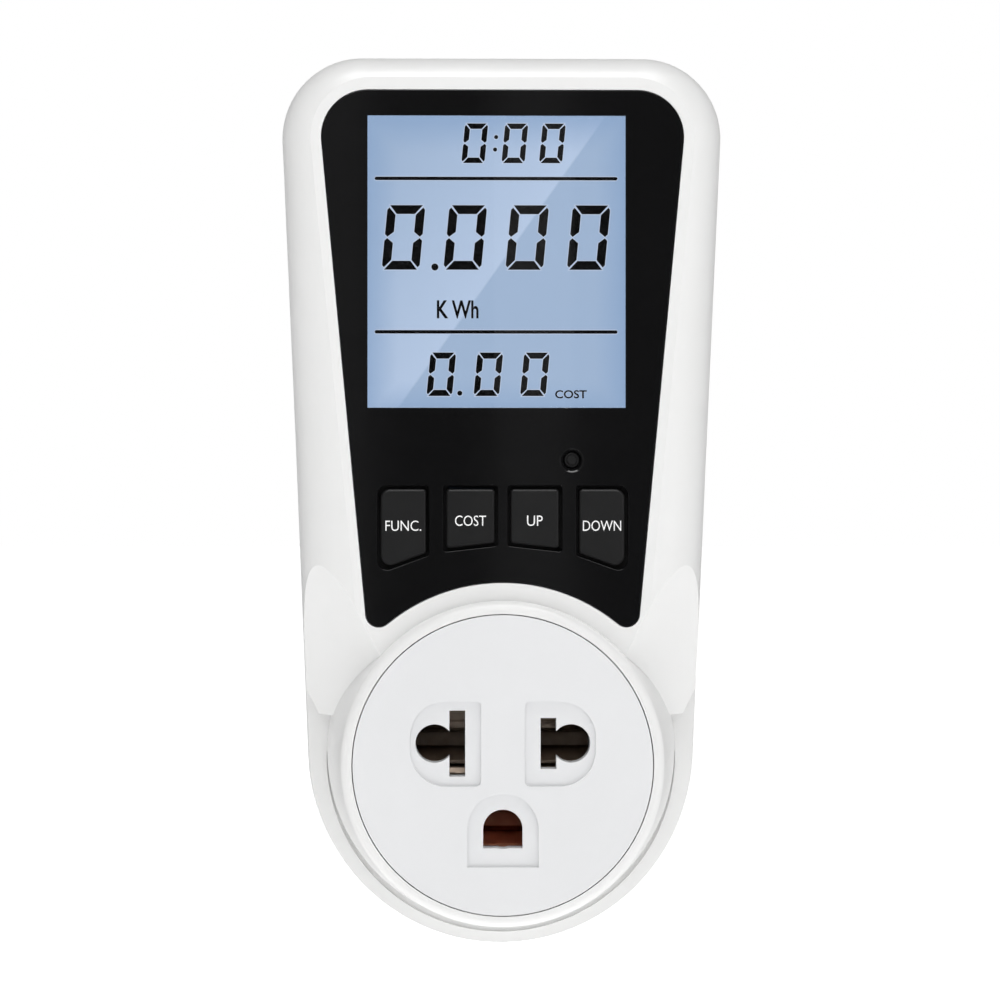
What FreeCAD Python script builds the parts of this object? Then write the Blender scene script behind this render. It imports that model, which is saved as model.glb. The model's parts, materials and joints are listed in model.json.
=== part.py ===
"""Plug in power meter with a display, five keys, a universal socket in front and a three-pin plug behind.

Frame: +Z up, +X to the right seen from the front, -Y out of the front face. The origin is on the wall face of
the plug, midway between the line and neutral pins. Depths count forward from that face, so y = -depth.
"""
import FreeCAD, Part
import math
import os
import Sketcher

Vector = FreeCAD.Vector
doc = FreeCAD.newDocument("power_meter")

# ---------------------------------------------------------------- driving sizes, millimetres and degrees
SIZES = {
    # depth stack, forward from the wall
    "back_depth": 4.0, "back_wall": 2.2, "parting_depth": 18.0, "parting_gap": 0.2, "flange_rise": 2.5,
    "plateau_depth": 38.0, "plateau_wall": 3.4, "ring_rise": 2.0, "shell_wall": 2.2,
    # outline at the parting line and of the plateau
    "chin_ledge": 2.5, "body_angle": 2.3, "body_top": 97.8, "body_corner": 11.8,
    "bevel_wide": 10.1, "plateau_angle": 5.5, "top_slope": 4.8, "plateau_corner": 8.4,
    "bevel_low": 0.13, "bevel_high": 0.46, "bevel_low_at": 0.55, "bevel_high_at": 0.86,
    "back_draft": 0.9, "back_round": 3.0,
    # wings: the facets that fall from the panel tips to the socket ring
    "wing_beside": 2.85, "wing_below": -1.5, "wing_slant": 26.5, "wing_drop": 18.5, "wing_out": 5.2,
    "wing_foot": 2.5,
    # socket ring, round about the disc
    "disc_z": -3.0, "disc_radius": 20.9, "disc_gap": 0.15, "disc_thick": 3.0, "ring_rim": 1.6,
    "ring_draft": 3.5, "ring_hollow": 0.3, "disc_shelf": 1.3, "ring_round": 1.3, "ring_lip": 2.0,
    "groove_width": 1.0, "groove_deep": 0.5, "groove_gap": 0.1,
    # tongue and rebate along the parting line
    "tongue_high": 1.2, "tongue_inset": 1.25, "tongue_gap": 0.1,
    # black panel
    "panel_drop": 1.8, "panel_margin": 1.6, "tip_past": 0.35, "panel_clear": 2.9,
    "panel_corner": 6.5, "panel_tip": 1.8, "panel_thick": 1.8, "panel_gap": 0.1, "panel_ledge": 1.3,
    # display window
    "window_left": -18.9, "window_right": 17.2, "window_margin": 3.5,
    "lens_lap": 1.2, "lens_flange": 1.0, "fit_gap": 0.05, "lens_sink": 0.05,
    # keys
    "key_rise": 5.5, "key_tall": 7.6, "key_sweep": 41.0, "outer_key_far": 17.1, "outer_key_near": 10.7,
    "inner_key_far": 7.9, "inner_key_near": 1.1, "key_gap": 0.45, "key_corner": 1.4, "key_edge": 0.5,
    "key_sink": 0.1, "key_flange": 0.8, "key_flange_thick": 1.0, "key_slack": 0.2, "switch_rise": 3.3,
    "reset_x": 9.7, "reset_rise": 4.0, "reset_hole": 1.25, "reset_mouth": 1.75, "reset_key_radius": 1.1,
    "reset_flange": 1.7, "reset_sink": 0.8,
    # switches
    "switch_side": 6.0, "switch_high": 3.5, "switch_floor": 1.1, "plunger_radius": 1.7, "plunger_gap": 0.06,
    "plunger_rest": 0.9,
    # display board and what it carries
    "board_thick": 1.6, "frame_floor": 3.2, "board_margin": 5.8, "board_margin_low": 7.0,
    "board_above_ring": 2.0, "board_below_top": 8.2, "board_corner": 8.5,
    "lcd_thick": 2.0, "lcd_gap": 0.2, "light_thick": 2.2, "frame_wall": 1.0, "frame_ledge": 1.2,
    "frame_grip": 0.4, "frame_clear": 0.9, "zebra_thick": 1.8, "zebra_gap": 0.2, "chip_side": 12.0,
    "chip_thick": 1.4, "chip_z": 66.0,
    "battery_radius": 5.8, "battery_half": 7.6, "battery_lift": 0.8, "battery_z": 40.0, "clip_thick": 0.4,
    "clip_half": 3.0, "clip_gap": 0.05, "link_x": 16.0, "link_z": 52.0, "link_half": 8.0, "link_thick": 2.5,
    "link_pins": 6.0, "link_pitch": 2.54, "link_pin": 0.64,
    "boss_margin": 1.6, "boss_margin_low": 1.9, "display_boss_below": 13.6, "display_boss_above": 5.5,
    "boss_radius": 2.1, "small_screw": 0.9, "small_head": 1.7, "small_head_high": 1.2, "screw_gap": 0.04,
    "small_screw_long": 5.0,
    # power board and what it carries
    "power_board_depth": 12.1, "power_boss_x": 21.0, "power_boss_above": 6.0, "power_boss_z": 79.0,
    "film_left": -20.0, "film_right": -2.0, "film_low": 64.0, "film_high": 74.0, "film_deep": 12.6,
    "can_radius": 5.0, "can_deep": 12.5, "can_x": 7.0, "can_z": 72.0,
    "varistor_radius": 5.0, "varistor_thick": 3.6, "varistor_x": -12.0, "varistor_z": 50.0,
    "meter_chip_x": 2.0, "meter_chip_z": 57.0, "meter_chip_long": 10.0, "meter_chip_wide": 4.0,
    "fuse_radius": 1.8, "fuse_long": 10.0, "fuse_x": -20.0, "fuse_z": 40.0, "fuse_lead": 0.35,
    "shunt_left": 14.0, "shunt_right": 22.0, "shunt_z": 36.0, "shunt_wide": 3.0, "shunt_thick": 0.8,
    "shunt_high": 5.0,
    # socket
    "pin_half_pitch": 9.5, "blade_half_pitch": 6.35, "earth_drop": 11.89, "round_hole": 2.68,
    "slot_wide": 2.2, "neutral_slot": 9.2, "line_slot": 7.1, "earth_hole_wide": 5.5, "earth_hole_high": 5.4,
    "pocket_deep": 0.5, "pocket_left": 12.9, "pocket_near": 3.05, "pocket_half": 5.95, "pocket_small": 0.8,
    "pocket_big": 5.0, "earth_pocket_half": 4.95, "earth_pocket_top": 6.9, "earth_pocket_low": -17.2,
    "carrier_inset": 3.9, "carrier_lift": 2.0, "carrier_floor": 1.2, "carrier_gap": 0.1,
    "well_near": 4.4, "well_far": 12.9, "well_half": 5.2, "earth_well_half": 3.6, "earth_well_low": -16.2,
    "earth_well_high": -8.2, "ear_radius": 1.85, "post_extra": 0.35, "ear_inset": 1.9, "ear_thick": 3.0,
    "ear_angle": 32.0, "leaf_thick": 0.6, "leaf_gap": 2.5, "leaf_sink": 2.4, "contact_back": 0.2,
    "tail_wide": 3.0, "tail_low": 3.4,
    # plug
    "plug_radius": 17.0, "plug_gap": 0.15, "flange_wide": 3.2, "plug_flange_thick": 2.5, "pin_radius": 2.4,
    "pin_long": 19.0, "sleeve_long": 10.0, "sleeve_step": 0.25, "sleeve_seat": 3.0, "core_radius": 1.7,
    "collar_radius": 2.9, "earth_pin_long": 21.4, "pin_gap": 0.03, "pin_head": 3.2, "pin_head_high": 1.0,
    "pin_nose": 1.0, "bar_wide": 5.0, "bar_thick": 0.8, "bar_top": 30.0, "strap_depth": 14.0,
    # case screws
    "case_boss": 2.7, "case_screw": 1.1, "case_head": 2.1, "case_head_high": 1.8, "case_boss_x": 2.5,
    "case_boss_z": 2.3, "case_boss_under": 0.2, "case_screw_short": 2.0, "case_rib": 1.6,
    "low_screw_inset": 1.0, "low_screw_angle": 40.0, "low_boss": 2.0, "plug_screw_out": 1.7,
    "plug_screw": 0.8, "plug_screw_head": 1.4,
    # label
    "label_half": 15.0, "label_low": 42.0, "label_high": 78.0, "label_thick": 0.15, "label_recess": 0.2,
}

sheet = doc.addObject("Spreadsheet::Sheet", "Sizes")
for row, (alias, number) in enumerate(SIZES.items(), start=1):
    sheet.set(f"A{row}", alias)
    sheet.set(f"B{row}", str(number))
    sheet.setAlias(f"B{row}", alias)
doc.recompute()


class Term:
    """A number together with the spreadsheet formula that gives it."""

    def __init__(self, value, text):
        self.value = float(value)
        self.text = text

    def __add__(self, other):
        other = term(other)
        return Term(self.value + other.value, f"({self.text} + {other.text})")

    def __sub__(self, other):
        other = term(other)
        return Term(self.value - other.value, f"({self.text} - {other.text})")

    def __mul__(self, other):
        other = term(other)
        return Term(self.value * other.value, f"({self.text} * {other.text})")

    def __truediv__(self, other):
        other = term(other)
        return Term(self.value / other.value, f"({self.text} / {other.text})")

    def __radd__(self, other):
        return term(other) + self

    def __rsub__(self, other):
        return term(other) - self

    def __rmul__(self, other):
        return term(other) * self

    def __neg__(self):
        return Term(-self.value, f"(0 - {self.text})")


def term(number):
    """Any number as a Term."""
    if isinstance(number, Term):
        return number
    return Term(number, f"({number!r})")


def sine(angle):
    return Term(math.sin(math.radians(angle.value)), f"sin({angle.text})")


def cosine(angle):
    return Term(math.cos(math.radians(angle.value)), f"cos({angle.text})")


def root(number):
    return Term(math.sqrt(number.value), f"sqrt({number.text})")


class Sheet:
    """Gives each cell of the sheet as a Term, so S.shell_wall is the wall."""

    def __getattr__(self, alias):
        return Term(SIZES[alias], f"Sizes.{alias}")


S = Sheet()
BEYOND = 60.0    # how far a cutting tool reaches past the part
PLUG_SCREW_TURNS = (90, 195, 345)    # round the centre of the disc, clear of the case screws and bars


# ---------------------------------------------------------------- sizes that follow from the driving ones
ring_depth = S.plateau_depth + S.ring_rise
flange_depth = S.parting_depth + S.flange_rise
plateau_inside = S.plateau_depth - S.plateau_wall
panel_back = S.plateau_depth - S.panel_thick
disc_back = ring_depth - S.disc_thick
# round the socket
ring_top = S.disc_radius + S.ring_rim
ring_base = ring_top + S.ring_draft
ring_inner = S.disc_radius + S.ring_hollow
ring_seat = S.disc_radius - S.disc_shelf
body_radius = ring_base + S.chin_ledge
plateau_radius = body_radius - S.bevel_wide
# upwards: ring, panel, keys, reset key, window
panel_arc = ring_top + S.panel_clear
panel_half_tip = plateau_radius + S.tip_past
plateau_top = S.body_top - S.top_slope
panel_top = plateau_top - S.panel_drop
key_crown = S.disc_z + panel_arc + S.key_rise
key_high = key_crown + S.key_tall
switch_z = key_crown + S.switch_rise
reset_z = key_high + S.reset_rise
window_low = reset_z + S.switch_side / 2 + S.frame_clear + S.frame_wall + S.lens_lap * 2
window_high = panel_top - S.window_margin
# back from the panel: display, its light and its board
lcd_front = panel_back - S.lcd_gap
lcd_back = lcd_front - S.lcd_thick
light_front = lcd_back - S.lcd_gap
light_back = light_front - S.light_thick
display_seat = light_back - S.frame_floor
display_back = display_seat - S.board_thick
board_high = S.body_top - S.board_below_top


def half_width(radius, angle, z):
    """How far out a slanting side is at a height, for a bottom radius and a side angle."""
    return (radius + sine(angle) * (z - S.disc_z)) / cosine(angle)


def case_half(z):
    """Half the width of the case at the parting line."""
    return half_width(body_radius, S.body_angle, z)


panel_half_top = half_width(plateau_radius, S.plateau_angle, panel_top) - S.panel_margin
board_half = case_half(board_high - S.board_corner) - S.board_margin
board_low = S.disc_z + ring_base + S.board_above_ring
board_half_low = case_half(board_low) - S.board_margin_low


def bind(target, prop, number):
    target.setExpression(prop, term(number).text)


# ---------------------------------------------------------------- primitives, placed by x, depth and z
def box(name, across, depth, up):
    """A block given by its low and high side across, in depth and upwards."""
    block = doc.addObject("Part::Box", name)
    bind(block, "Length", across[1] - across[0])
    bind(block, "Width", depth[1] - depth[0])
    bind(block, "Height", up[1] - up[0])
    bind(block, "Placement.Base.x", across[0])
    bind(block, "Placement.Base.y", 0 - term(depth[1]))
    bind(block, "Placement.Base.z", up[0])
    return block


def rod(name, x, z, depth, radius, front_radius=None):
    """A round bar along the depth, or a cone when front_radius is given."""
    kind = "Part::Cylinder" if front_radius is None else "Part::Cone"
    bar = doc.addObject(kind, name)
    bar.Placement = FreeCAD.Placement(Vector(), FreeCAD.Rotation(Vector(1, 0, 0), 90))
    if front_radius is None:
        bind(bar, "Radius", radius)
    else:
        bind(bar, "Radius1", radius)
        bind(bar, "Radius2", front_radius)
    bind(bar, "Height", depth[1] - depth[0])
    bind(bar, "Placement.Base.x", x)
    bind(bar, "Placement.Base.y", 0 - term(depth[0]))
    bind(bar, "Placement.Base.z", z)
    return bar


def roller(name, axis, start, radius, length):
    """A round bar along X or Z from its start point (x, depth, z)."""
    bar = doc.addObject("Part::Cylinder", name)
    turn = FreeCAD.Rotation(Vector(0, 1, 0), 90) if axis == "X" else FreeCAD.Rotation()
    bar.Placement = FreeCAD.Placement(Vector(), turn)
    bind(bar, "Radius", radius)
    bind(bar, "Height", length)
    bind(bar, "Placement.Base.x", start[0])
    bind(bar, "Placement.Base.y", 0 - term(start[1]))
    bind(bar, "Placement.Base.z", start[2])
    return bar


def fuse(name, parts):
    """One solid from parts that meet."""
    joined = doc.addObject("Part::MultiFuse", name)
    joined.Shapes = parts
    return joined


def cut(name, base, tools):
    """Base with every tool taken out of it."""
    trimmed = doc.addObject("Part::Cut", name)
    trimmed.Base = base
    trimmed.Tool = tools[0] if len(tools) == 1 else fuse(name + "_tools", tools)
    return trimmed


def group(name, parts):
    """Separate solids kept in one node."""
    compound = doc.addObject("Part::Compound", name)
    compound.Links = parts
    return compound


def rounded(name, base, radius, chosen):
    """Base with the edges that chosen(edge) picks rounded to a radius."""
    doc.recompute()
    picked = [number for number, edge in enumerate(base.Shape.Edges, start=1) if chosen(edge)]
    smooth = doc.addObject("Part::Fillet", name)
    smooth.Base = base
    smooth.Edges = [(number, radius.value, radius.value) for number in picked]
    return smooth


PIECES = []


def piece(label, target):
    """Marks a finished sub-part: its label names its file."""
    target.Label = label
    PIECES.append(target)
    return target


# ---------------------------------------------------------------- sketches and pads
def origin_plane(body, role):
    return next(feature for feature in body.Origin.OriginFeatures if feature.Role == role)


def sketch_at(body, name, depth):
    """An empty sketch parallel to the wall at a depth; its x is X and its y is Z."""
    sketch = body.newObject("Sketcher::SketchObject", name)
    sketch.AttachmentSupport = [(origin_plane(body, "XZ_Plane"), "")]
    sketch.MapMode = "FlatFace"
    bind(sketch, "AttachmentOffset.Base.z", depth)
    return sketch


def pin_point(sketch, geometry, end, point):
    """Ties one end of a sketch element to its place."""
    for axis, number in zip("XY", point):
        number = term(number)
        distance = Sketcher.Constraint("Distance" + axis, -1, 1, geometry, end, number.value)
        index = sketch.addConstraint(distance)
        sketch.setExpression(f"Constraints[{index}]", number.text)


def draw_loop(sketch, corners):
    """A closed loop. Each corner is (x, z) or (x, z, radius, side): an arc to the next corner, bulging to its
    left for side 1 and to its right for side -1."""
    total = len(corners)
    for number, corner in enumerate(corners):
        here = Vector(term(corner[0]).value, term(corner[1]).value, 0)
        follow = corners[(number + 1) % total]
        there = Vector(term(follow[0]).value, term(follow[1]).value, 0)
        if len(corner) == 2:
            sketch.addGeometry(Part.LineSegment(here, there), False)
            continue
        radius = corner[2].value
        chord = there - here
        left = Vector(-chord.y, chord.x, 0).normalize() * corner[3]
        rise = radius - math.sqrt(max(radius ** 2 - (chord.Length / 2) ** 2, 0.0))
        crown = (here + there) / 2 + left * rise
        sketch.addGeometry(Part.Arc(here, crown, there), False)
    ends = []
    for number, corner in enumerate(corners):
        turned = len(corner) == 4 and corner[3] == 1
        ends.append((2, 1) if turned else (1, 2))
    for number in range(total):
        follow = (number + 1) % total
        joint = Sketcher.Constraint("Coincident", number, ends[number][1], follow, ends[follow][0])
        sketch.addConstraint(joint)
    for number, corner in enumerate(corners):
        pin_point(sketch, number, ends[number][0], corner[:2])
        if len(corner) == 4:
            index = sketch.addConstraint(Sketcher.Constraint("Radius", number, corner[2].value))
            sketch.setExpression(f"Constraints[{index}]", corner[2].text)


def plate(name, corners, depth):
    """A flat piece with a drawn outline between two depths."""
    body = doc.addObject("PartDesign::Body", name)
    sketch = sketch_at(body, name + "_outline", depth[0])
    draw_loop(sketch, corners)
    pad = body.newObject("PartDesign::Pad", name + "_pad")
    pad.Profile = sketch
    bind(pad, "Length", depth[1] - depth[0])
    doc.recompute()
    return body


def runs_in_depth(edge):
    """Whether an edge is a straight line along the depth."""
    start, end = edge.Vertexes[0].Point, edge.Vertexes[-1].Point
    return abs(start.x - end.x) < 0.001 and abs(start.z - end.z) < 0.001 and edge.Length > 0.01


def lies_at(edge, depth):
    """Whether an edge lies flat in the plane at a depth."""
    bounds = edge.BoundBox
    return bounds.YLength < 0.01 and abs(bounds.YMax + depth.value) < 0.01


def soften(body, name, radius, chosen):
    """Rounds the edges of a body's tip that chosen(edge) picks."""
    tip = body.Tip
    picked = [f"Edge{number}" for number, edge in enumerate(tip.Shape.Edges, start=1) if chosen(edge)]
    smooth = body.newObject("PartDesign::Fillet", name)
    smooth.Base = (tip, picked)
    bind(smooth, "Radius", radius)
    body.Tip = smooth
    doc.recompute()


# ---------------------------------------------------------------- case outlines
def between(low, high, share):
    return low + (high - low) * share


def case_outline(share, inset):
    """The case's outline: share 0 at the parting line, 1 on the plateau, moved inwards by inset.

    A bottom arc about the disc's centre, two slanting sides that touch it, two corner arcs and a top."""
    radius = between(body_radius, plateau_radius, share) - inset
    angle = between(S.body_angle, S.plateau_angle, share)
    top = between(S.body_top, plateau_top, share) - inset
    corner = between(S.body_corner, S.plateau_corner, share) - inset
    foot = (radius * cosine(angle), S.disc_z - radius * sine(angle))
    corner_x = half_width(radius - corner, angle, top - corner)
    shoulder = (corner_x + corner * cosine(angle), top - corner - corner * sine(angle))
    return [
        (-foot[0], foot[1], radius, -1),
        foot,
        (shoulder[0], shoulder[1], corner, -1),
        (corner_x, top),
        (-corner_x, top, corner, -1),
        (-shoulder[0], shoulder[1]),
    ]


def case_loft(name, sections):
    """A smooth solid through outlines given as (depth, share, inset)."""
    body = doc.addObject("PartDesign::Body", name)
    sketches = []
    for number, (depth, share, inset) in enumerate(sections):
        sketch = sketch_at(body, f"{name}_{number}", depth)
        draw_loop(sketch, case_outline(share, inset))
        sketches.append(sketch)
    loft = body.newObject("PartDesign::AdditiveLoft", name + "_loft")
    loft.Profile = sketches[0]
    loft.Sections = sketches[1:]
    doc.recompute()
    return body


def bevel(front, inset):
    """Sections of the curved side bevel between the parting line and a front depth."""
    return [
        (S.parting_depth, term(0), inset),
        (between(S.parting_depth, front, S.bevel_low_at), S.bevel_low, inset),
        (between(S.parting_depth, front, S.bevel_high_at), S.bevel_high, inset),
        (front, term(1), inset),
    ]


def wing_tool(name, side, inset):
    """What the slanting facet beside one panel tip takes away; inset moves the facet inwards."""
    body = doc.addObject("PartDesign::Body", name)
    slant = S.wing_slant
    wing_x = panel_half_tip + S.wing_beside
    wing_z = S.disc_z + ring_top - S.wing_below
    reach_x = BEYOND * sine(slant)
    reach_z = BEYOND * cosine(slant)
    sketches = []
    places = [
        (flange_depth - inset, wing_x + S.wing_out, wing_z - S.wing_drop),
        (S.plateau_depth, wing_x, wing_z),
        (S.plateau_depth + S.plateau_wall, wing_x - S.wing_out * S.plateau_wall / S.wing_drop,
         wing_z + S.plateau_wall),
    ]
    for number, (depth, x, z) in enumerate(places):
        x = x - inset
        z = z + inset / 2
        corners = [(x + reach_x, z + reach_z), (x - reach_x, z - reach_z), (x + reach_x * 2, z - reach_z)]
        if side < 0:
            corners = [(-corner_x, corner_z) for corner_x, corner_z in corners]
        sketch = sketch_at(body, f"{name}_{number}", depth)
        draw_loop(sketch, corners)
        sketches.append(sketch)
    loft = body.newObject("PartDesign::AdditiveLoft", name + "_loft")
    loft.Profile = sketches[0]
    loft.Sections = sketches[1:]
    loft.Ruled = True
    doc.recompute()
    return body


def carved(name, loft, inset):
    """A case loft without what lies outside the wings and in front of the flange."""
    chin = box(name + "_chin", (-BEYOND, BEYOND), (flange_depth - inset, BEYOND),
               (-BEYOND, S.wing_foot + inset))
    wings = [wing_tool(f"{name}_wing_{side}", sign, inset) for side, sign in (("right", 1), ("left", -1))]
    return cut(name, loft, [chin] + wings)


def panel_outline(grow):
    """The black panel's outline before its corners are rounded, moved outwards by grow."""
    tip = panel_half_tip + grow
    arc = panel_arc - grow
    tip_z = S.disc_z + root(arc * arc - tip * tip)
    top = panel_half_top + grow
    return [(-tip, tip_z, arc, 1), (tip, tip_z), (top, panel_top + grow), (-top, panel_top + grow)]


def panel_plate(name, grow, depth):
    """A plate of the panel's outline with rounded top corners and tips."""
    body = plate(name, panel_outline(grow), depth)
    middle = panel_top.value / 2
    soften(body, name + "_corners", S.panel_corner + grow,
           lambda edge: runs_in_depth(edge) and edge.CenterOfMass.z > middle)
    soften(body, name + "_tips", S.panel_tip + grow,
           lambda edge: runs_in_depth(edge) and edge.CenterOfMass.z < middle)
    return body


def around_disc(out, angle):
    """The x and z of a place at a distance from the disc's centre; angle counts up from the right."""
    return out * cosine(angle), S.disc_z + out * sine(angle)


def sides(x):
    """The two mirrored places of something."""
    return (("left", -x), ("right", x))


# ---------------------------------------------------------------- screws
SMALL_SCREW = (S.small_screw, S.small_head, S.small_head_high)
CASE_SCREW = (S.case_screw, S.case_head, S.case_head_high)
PLUG_SCREW = (S.plug_screw, S.plug_screw_head, S.small_head_high)


def screw(name, x, z, seat, tip, sizes):
    """A pan head screw: its head stands on the seat depth, away from its tip."""
    radius, head, head_high = sizes
    forward = tip.value > seat.value
    shaft = rod(name + "_shaft", x, z, (seat, tip) if forward else (tip, seat), radius)
    head_depth = (seat - head_high, seat) if forward else (seat, seat + head_high)
    cap = rod(name + "_head", x, z, head_depth, head)
    outer = head_depth[0] if forward else head_depth[1]
    slot_depth = (outer, outer + head_high / 2) if forward else (outer - head_high / 2, outer)
    slot_across = box(name + "_slot_across", (x - head * 0.6, x + head * 0.6), slot_depth,
                      (z - head * 0.12, z + head * 0.12))
    slot_up = box(name + "_slot_up", (x - head * 0.12, x + head * 0.12), slot_depth,
                  (z - head * 0.6, z + head * 0.6))
    return cut(name, fuse(name + "_blank", [shaft, cap]), [slot_across, slot_up])


# ---------------------------------------------------------------- front shell
display_boss_rows = (("high", board_half - S.boss_margin, board_high - S.display_boss_below),
                     ("low", board_half_low - S.boss_margin_low, board_low + S.display_boss_above))
display_bosses = [(f"{level}_{side}", x, z) for level, far, z in display_boss_rows for side, x in sides(far)]
case_z = S.body_top - S.body_corner + S.case_boss_z
case_x = half_width(body_radius - S.body_corner, S.body_angle, S.body_top - S.body_corner) + S.case_boss_x
case_boss_front = display_seat - S.case_boss_under
case_screw_front = case_boss_front - S.case_screw_short
case_tops = [(f"top_{side}", x, case_z) for side, x in sides(case_x)]
case_lows = []
for side, sign in (("left", -1), ("right", 1)):
    low_x, low_z = around_disc(ring_inner - S.low_screw_inset, -S.low_screw_angle)
    case_lows.append((f"low_{side}", low_x * sign, low_z))
ears = []
for side, sign in (("left", -1), ("right", 1)):
    ear_x, ear_z = around_disc(ring_inner - S.ear_inset, S.ear_angle)
    ears.append((f"ear_{side}", ear_x * sign, ear_z))

carrier_back = S.parting_depth + S.carrier_lift


def front_shell():
    outer = carved("front_outer", case_loft("front_hull", bevel(S.plateau_depth, term(0))), term(0))
    hollow_hull = case_loft("front_hollow", bevel(plateau_inside, S.shell_wall))
    inner = carved("front_inner", hollow_hull, S.shell_wall)
    walls = cut("front_walls", outer, [inner])
    ring_blank = rod("ring_blank", 0, S.disc_z, (S.parting_depth, ring_depth), ring_base, ring_top)
    ring = rounded("ring_round_edge", ring_blank, S.ring_round,
                   lambda edge: lies_at(edge, ring_depth))
    ribs = []
    rib_top = S.body_top - S.shell_wall / 2
    for name, x, z in case_tops:
        ribs.append(rod(name + "_boss", x, z, (S.parting_depth, case_boss_front), S.case_boss))
        inward = x - S.case_rib if x.value > 0 else x
        ribs.append(box(name + "_rib", (inward, inward + S.case_rib), (S.parting_depth, case_boss_front),
                        (z, rib_top)))
    for name, x, z in display_bosses:
        boss_depth = (display_seat, plateau_inside + S.shell_wall / 2)
        ribs.append(rod(name + "_boss", x, z, boss_depth, S.boss_radius))
    solid = fuse("front_solid", [walls, ring] + ribs)
    ear_front = carrier_back + S.ear_thick
    tools = [
        rod("ring_bore", 0, S.disc_z, (S.parting_depth, disc_back - S.ring_lip), ring_inner),
        rod("disc_seat", 0, S.disc_z, (disc_back, ring_depth), S.disc_radius + S.disc_gap),
        rod("seat_hole", 0, S.disc_z, (S.parting_depth, ring_depth), ring_seat),
        panel_plate("panel_recess", S.panel_gap, (panel_back, S.plateau_depth + S.panel_thick)),
        panel_plate("panel_opening", -S.panel_ledge, (plateau_inside - 1, S.plateau_depth)),
        plate("rebate", case_outline(term(0), S.tongue_inset - S.tongue_gap),
              (S.parting_depth, S.parting_depth + S.tongue_high + S.tongue_gap)),
    ]
    groove_depth = (flange_depth - S.groove_deep, flange_depth + 1)
    ring_foot = ring_base - S.ring_draft * S.flange_rise / (ring_depth - S.parting_depth)
    groove_disc = rod("groove_disc", 0, S.disc_z - S.groove_width, groove_depth, ring_foot)
    groove_core = rod("groove_core", 0, S.disc_z, groove_depth, ring_foot - S.groove_gap)
    groove_upper = box("groove_upper", (-BEYOND, BEYOND), groove_depth, (S.disc_z, BEYOND))
    tools.append(cut("base_groove", groove_disc, [groove_core, groove_upper]))
    hollow = cut("front_bored", solid, tools)
    posts = []
    for name, x, z in case_lows:
        posts.append(rod(name + "_post", x, z, (S.parting_depth + S.tongue_high + S.tongue_gap * 2,
                                                disc_back - S.ring_lip + 1), S.low_boss))
    for name, x, z in ears:
        posts.append(rod(name + "_post", x, z, (ear_front, disc_back - S.ring_lip + 1),
                         S.ear_radius + S.post_extra))
    posted = fuse("front_posted", [hollow] + posts)
    drills = [rod(name + "_drill", x, z, (S.parting_depth - 1, case_screw_front + 1),
                  S.case_screw + S.screw_gap) for name, x, z in case_tops + case_lows]
    drills += [rod(name + "_drill", x, z, (display_seat - 1, display_seat + S.small_screw_long),
                   S.small_screw + S.screw_gap) for name, x, z in display_bosses]
    drills += [rod(name + "_drill", x, z, (ear_front - 1, ear_front + S.small_screw_long + S.ear_thick),
                   S.small_screw + S.screw_gap) for name, x, z in ears]
    drills.append(rod("disc_clear", 0, S.disc_z, (disc_back, ring_depth + 1), S.disc_radius + S.disc_gap))
    return cut("front_done", posted, drills)


piece("front_shell", front_shell())


# ---------------------------------------------------------------- rear shell
def rear_shell():
    rim = S.parting_depth - S.parting_gap
    none = term(0)
    floor = S.back_depth + S.back_wall
    hull = case_loft("rear_hull", [(S.back_depth, none, S.back_draft), (rim, none, none)])
    soften(hull, "rear_round", S.back_round, lambda edge: lies_at(edge, S.back_depth))
    hollow = case_loft("rear_hollow", [(floor, none, S.back_draft + S.shell_wall), (rim, none, S.shell_wall)])
    soften(hollow, "rear_inner_round", S.back_round - S.back_wall / 2, lambda edge: lies_at(edge, floor))
    tray = cut("rear_tray", hull, [hollow])
    tongue = cut("tongue", plate("tongue_outer", case_outline(none, S.tongue_inset),
                                 (rim - 1, S.parting_depth + S.tongue_high)),
                 [plate("tongue_inner", case_outline(none, S.shell_wall),
                        (rim - 1.5, S.parting_depth + S.tongue_high + 0.5))])
    head_seat = floor + S.case_head_high
    bosses = [rod(name + "_rear_boss", x, z, (floor - 1, rim), S.case_boss) for name, x, z in case_tops]
    bosses += [box(name + "_rear_rib", (x - S.case_rib / 2, x + S.case_rib / 2), (floor - 1, rim),
                   (z, z + S.case_boss * 2)) for name, x, z in case_tops]
    bosses += [rod(name + "_rear_boss", x, z, (floor - 1, rim), S.low_boss + S.shell_wall / 2)
               for name, x, z in case_lows]
    board_back = S.power_board_depth - S.board_thick
    bosses += [rod(name + "_rear_boss", x, z, (floor - 1, board_back), S.boss_radius)
               for name, x, z in power_bosses]
    solid = fuse("rear_solid", [tray, tongue] + bosses)
    tools = [rod("plug_hole", 0, S.disc_z, (S.back_depth - 1, floor + 1), S.plug_radius + S.plug_gap)]
    for name, x, z in case_tops + case_lows:
        counterbore = S.case_head + S.plug_gap
        tools.append(rod(name + "_counterbore", x, z, (S.back_depth - 1, head_seat), counterbore))
        tools.append(rod(name + "_clear", x, z, (S.back_depth, S.parting_depth), S.case_screw + S.screw_gap))
    for name, x, z in power_bosses:
        tools.append(rod(name + "_rear_drill", x, z, (floor, board_back + 1), S.small_screw + S.screw_gap))
    for name, x, z in plug_screw_places:
        tools.append(rod(name + "_drill", x, z, (S.back_depth + S.label_recess * 2, floor + 1),
                         S.plug_screw + S.screw_gap))
    tools.append(box("label_seat", (-S.label_half - S.plug_gap, S.label_half + S.plug_gap),
                     (S.back_depth - 1, S.back_depth + S.label_recess),
                     (S.label_low - S.plug_gap, S.label_high + S.plug_gap)))
    return cut("rear_done", solid, tools)


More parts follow.
